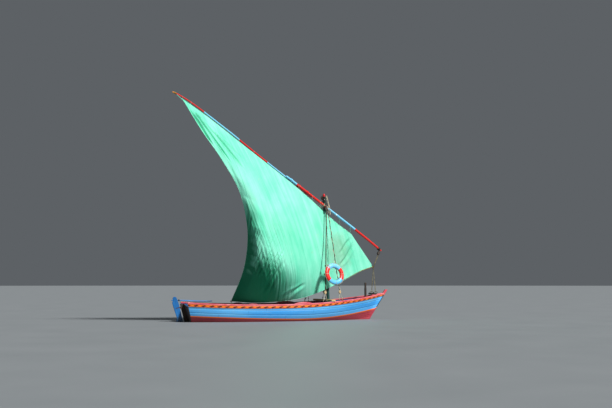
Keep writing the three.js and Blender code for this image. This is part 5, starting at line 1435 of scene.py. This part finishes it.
def build_sail():
    """The sail's cloth as a thin closed shell on a grid of s and t. It is moved along its normal by the
    creases and by small folds that hang from the ties at its head, and TOWARDS by a flatter upper leech and
    a rolled lower one; its foot sags aft. Its UV map is the cloth laid flat, in metres."""
    s = LUFF_FROM + (1 - LUFF_FROM) * np.linspace(0, 1, 288) ** 0.75
    t = np.linspace(0, 1, 164) ** 0.85
    grid_s, grid_t = np.meshgrid(s, t, indexing="ij")
    cloth = sail_point(grid_s, grid_t)
    normal = unit(np.cross(np.gradient(cloth, axis=0), np.gradient(cloth, axis=1)))
    normal = normal * np.sign((normal @ BELLY_WAY).mean())
    edge = ramp(grid_t, 0, 0.05) * ramp(grid_s, 1, 0.985) * ramp(grid_t, 1, 0.96)
    moved = creased(cloth, normal) - cloth
    hang = 0.012 * np.cos(2 * np.pi * grid_s * 27) * np.exp(-grid_t / 0.05) * ramp(grid_t, 0, 0.015)
    roll = 0.965 - 0.03 * ramp(grid_t, 0.55, 0.7)
    rolled = ramp(grid_s, roll - 0.15, roll) * ramp(grid_s, 1, roll)
    rolled = rolled * ramp(grid_t, 0.44, 0.58) * ramp(grid_t, 1, 0.78)
    flat_edge = ramp(grid_s, 0.84, 1) * ramp(grid_t, 0.12, 0.35) * ramp(grid_t, 0.62, 0.5)
    lowered = ramp(grid_t, 0.9, 1) * ramp(grid_s, 0.3, 0.6)
    cloth = cloth + moved * edge[..., None] + normal * (hang * ramp(grid_s, 0.14, 0.2))[..., None]
    cloth = cloth + TOWARDS * (FLATTER * flat_edge + ROLLED * rolled)[..., None]
    cloth = cloth - [0, 0, SAG] * lowered[..., None]
    normal = unit(np.cross(np.gradient(cloth, axis=0), np.gradient(cloth, axis=1)))
    rings = np.concatenate([cloth + normal * CLOTH_HALF, (cloth - normal * CLOTH_HALF)[:, ::-1]], axis=1)
    points, faces, _, finish = loft(rings)
    down = unit(np.asarray(FOOT[-1]) - HEAD_POINTS[-1])
    aft = unit(YARD_WAY - down * (YARD_WAY @ down))
    flat = np.stack([points @ aft, points @ down], -1)
    sail = piece(
        "sail_cloth", [(points, faces, flat[faces], finish)], "yard", SAILCLOTH, ["sail"], 60
    )
    edges = {
        "luff_rope": cloth[0, ::2],
        "leech_rope": cloth[-1, ::2],
        "foot_rope": cloth[::2, -1],
        "head_rope": cloth[s > LUFF][::2, 0],
    }
    bolt_ropes = {name: [rope(path, 0.008, BELLY_WAY, 6)] for name, path in edges.items()}
    trims = [piece(name, parts, "yard", HEM) for name, parts in bolt_ropes.items()]
    share = np.linspace(0, 1, 900)
    turn = (share * 2 * np.pi * STITCHES)[:, None]
    stitches = sail_point(share * STITCHED, 0.994 + 0 * share)
    stitches = stitches + BELLY_WAY * 0.012 * np.cos(turn) + point(0, 0, 0.014) * np.sin(turn)
    twine = loft(pole(stitches, 0.0045, 6, (0, 1, 0)))
    trims.append(piece("foot_stitching", [twine], "yard", TWINE))


ROBANDS_FORE = [0.1735, 0.232, 0.293, 0.3235, 0.3335, 0.372]  # shares of the yard, up to the lap


def build_robands():
    """Ties 0.7 m apart, and closer near the mast: each passes over the yard in an arc round its centre line
    and comes down to the sail's head on both sides. The earing holds the peak out to the yard's end."""
    ties = []
    over = np.cross(PORTWARD, YARD_WAY)
    over = over * np.sign(over[2])
    turn = np.radians(np.linspace(-25, 205, 22))[:, None]
    shares = [row[0] for row in HEAD]
    for s in np.concatenate([ROBANDS_FORE, np.arange(0.44, 0.94, 0.07), [0.963]]):
        centre = yard_at(s) if s < LAP_FROM else upper_at(s)
        half = 0.0
        if LAP_FROM < s < LAP_TO:
            centre = (yard_at(s) + upper_at(s)) / 2
            half = SPARS_APART / 2
        radius = float(yard_radius(s)) + 0.003 if s < LAP_TO else 0.034 - 0.022 * (s - LAP_FROM) + 0.003
        low = curve(HEAD_POINTS, np.interp(s, shares, np.linspace(0, 1, len(HEAD)))) - [0, 0, 0.012]
        side = half * np.tanh(3 * np.cos(turn)) + radius * np.cos(turn)
        arc = centre + PORTWARD * side + over * radius * np.sin(turn)
        path = np.concatenate([low[None] + YARD_WAY * 0.004, arc, low[None] - YARD_WAY * 0.004])
        ties.append(loft(pole(even(path, 0.012), 0.0026, 8, YARD_WAY)))
    piece("robands", ties, "yard", HEM)
    earing = straight(HEAD_POINTS[-1] + YARD_WAY * -0.12 + [0, 0, -0.05], upper_at(0.984) - [0, 0, 0.02], 30)
    piece("peak_earing", [rope(earing, 0.012)], "yard", HEM)


HEEL_TIED = 0.013  # share of the yard where its heel is lashed
TACK_TOP = yard_at(HEEL_TIED) - [0.01, 0, 0.16]
TACK_JOIN = point(3.575, 0.56, 1.88)
TACK_FEET = [point(3.341, 0.2, 0.955), point(3.322, -0.2, 0.96)]


def build_tack():
    """The heel's tackle: a lashing round the yard, a block under it, two parts of line down to the sail's
    tack, and a doubled leg from there to each side of the bow beam. All down to the tack swings with the
    yard, the hitches on the beam stay with the hull, and the legs between them are on neither."""
    way = unit(yard_at(HEEL_TIED + 0.01) - yard_at(HEEL_TIED))
    turns = wound(yard_at(HEEL_TIED), way, YARD_UP, 0.0525, 0.0525, 8, 0.11)
    piece("heel_lashing", [rope(turns, 0.007, way, 9)], "yard", TARRED)
    wood, strop = build_block(TACK_TOP, TACK_TOP - TACK_JOIN, (0, 1, 0), 0.066)
    piece("heel_block", wood, "yard", DARK)
    hanger = rope(straight(yard_at(HEEL_TIED) - [0, 0, 0.05], TACK_TOP, 10), 0.009)
    piece("heel_block_strop", [strop, hanger], "yard", TARRED)
    falls = [
        rope(straight(TACK_TOP + [d, 0, -0.03], TACK_JOIN + [d / 3, 0, 0], 30), 0.0105)
        for d in (-0.02, 0.016)
    ]
    falls.append(rope(wound(TACK_JOIN, TACK_TOP - TACK_JOIN, (1, 0, 0), 0.02, 0.02, 6, 0.08), 0.007))
    piece("tack_falls", falls, "yard", COIR)
    legs = [straight(TACK_JOIN, foot + [d, 0, 0], 30) for foot in TACK_FEET for d in (-0.012, 0.012)]
    tackle = piece("tack_tackle", [rope(leg, 0.0075) for leg in legs], "", COIR)
    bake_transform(tackle)
    hitches = [rope(wound(foot, (0, 1, 0), (1, 0, 0), 0.068, 0.034, 3, 0.03), 0.008) for foot in TACK_FEET]
    piece("tack_hitches", hitches, "hull", COIR)


SHEET_FOOT = point(-2.12, -0.62, 0.352)


def build_sheet_rope():
    """The sheet: two turns through the clew and a short run down to a hitch round the aft thwart."""
    clew = np.asarray(FOOT[-1]) - [0, 0, 0.03]
    run = straight(clew + [0, 0, 0.005], SHEET_FOOT + [0, 0, 0.01], 30, 0.01)
    eye = wound(clew, (0, 1, 0), (1, 0, 0), 0.03, 0.022, 2, 0.02)
    hitch = wound(SHEET_FOOT + [0.03, 0, -0.035], (0, 1, 0), (1, 0, 0), 0.135, 0.03, 2, 0.03)
    ropes = [rope(run, 0.009), rope(eye, 0.008)]
    sheet = piece("sheet_rope", ropes, "", ROPE)
    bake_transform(sheet)
    piece("sheet_hitch", [rope(hitch, 0.009)], "hull", ROPE)


build_floor()
build_planking()
build_edges()
build_backbone()
build_frames()
build_fittings()
build_mast()
build_shrouds()
build_upper_blocks()
build_halyard()
build_buoy()
build_rudder()
finish_kept_nodes()
build_yard()
build_sail()
build_robands()
build_tack()
build_sheet_rope()
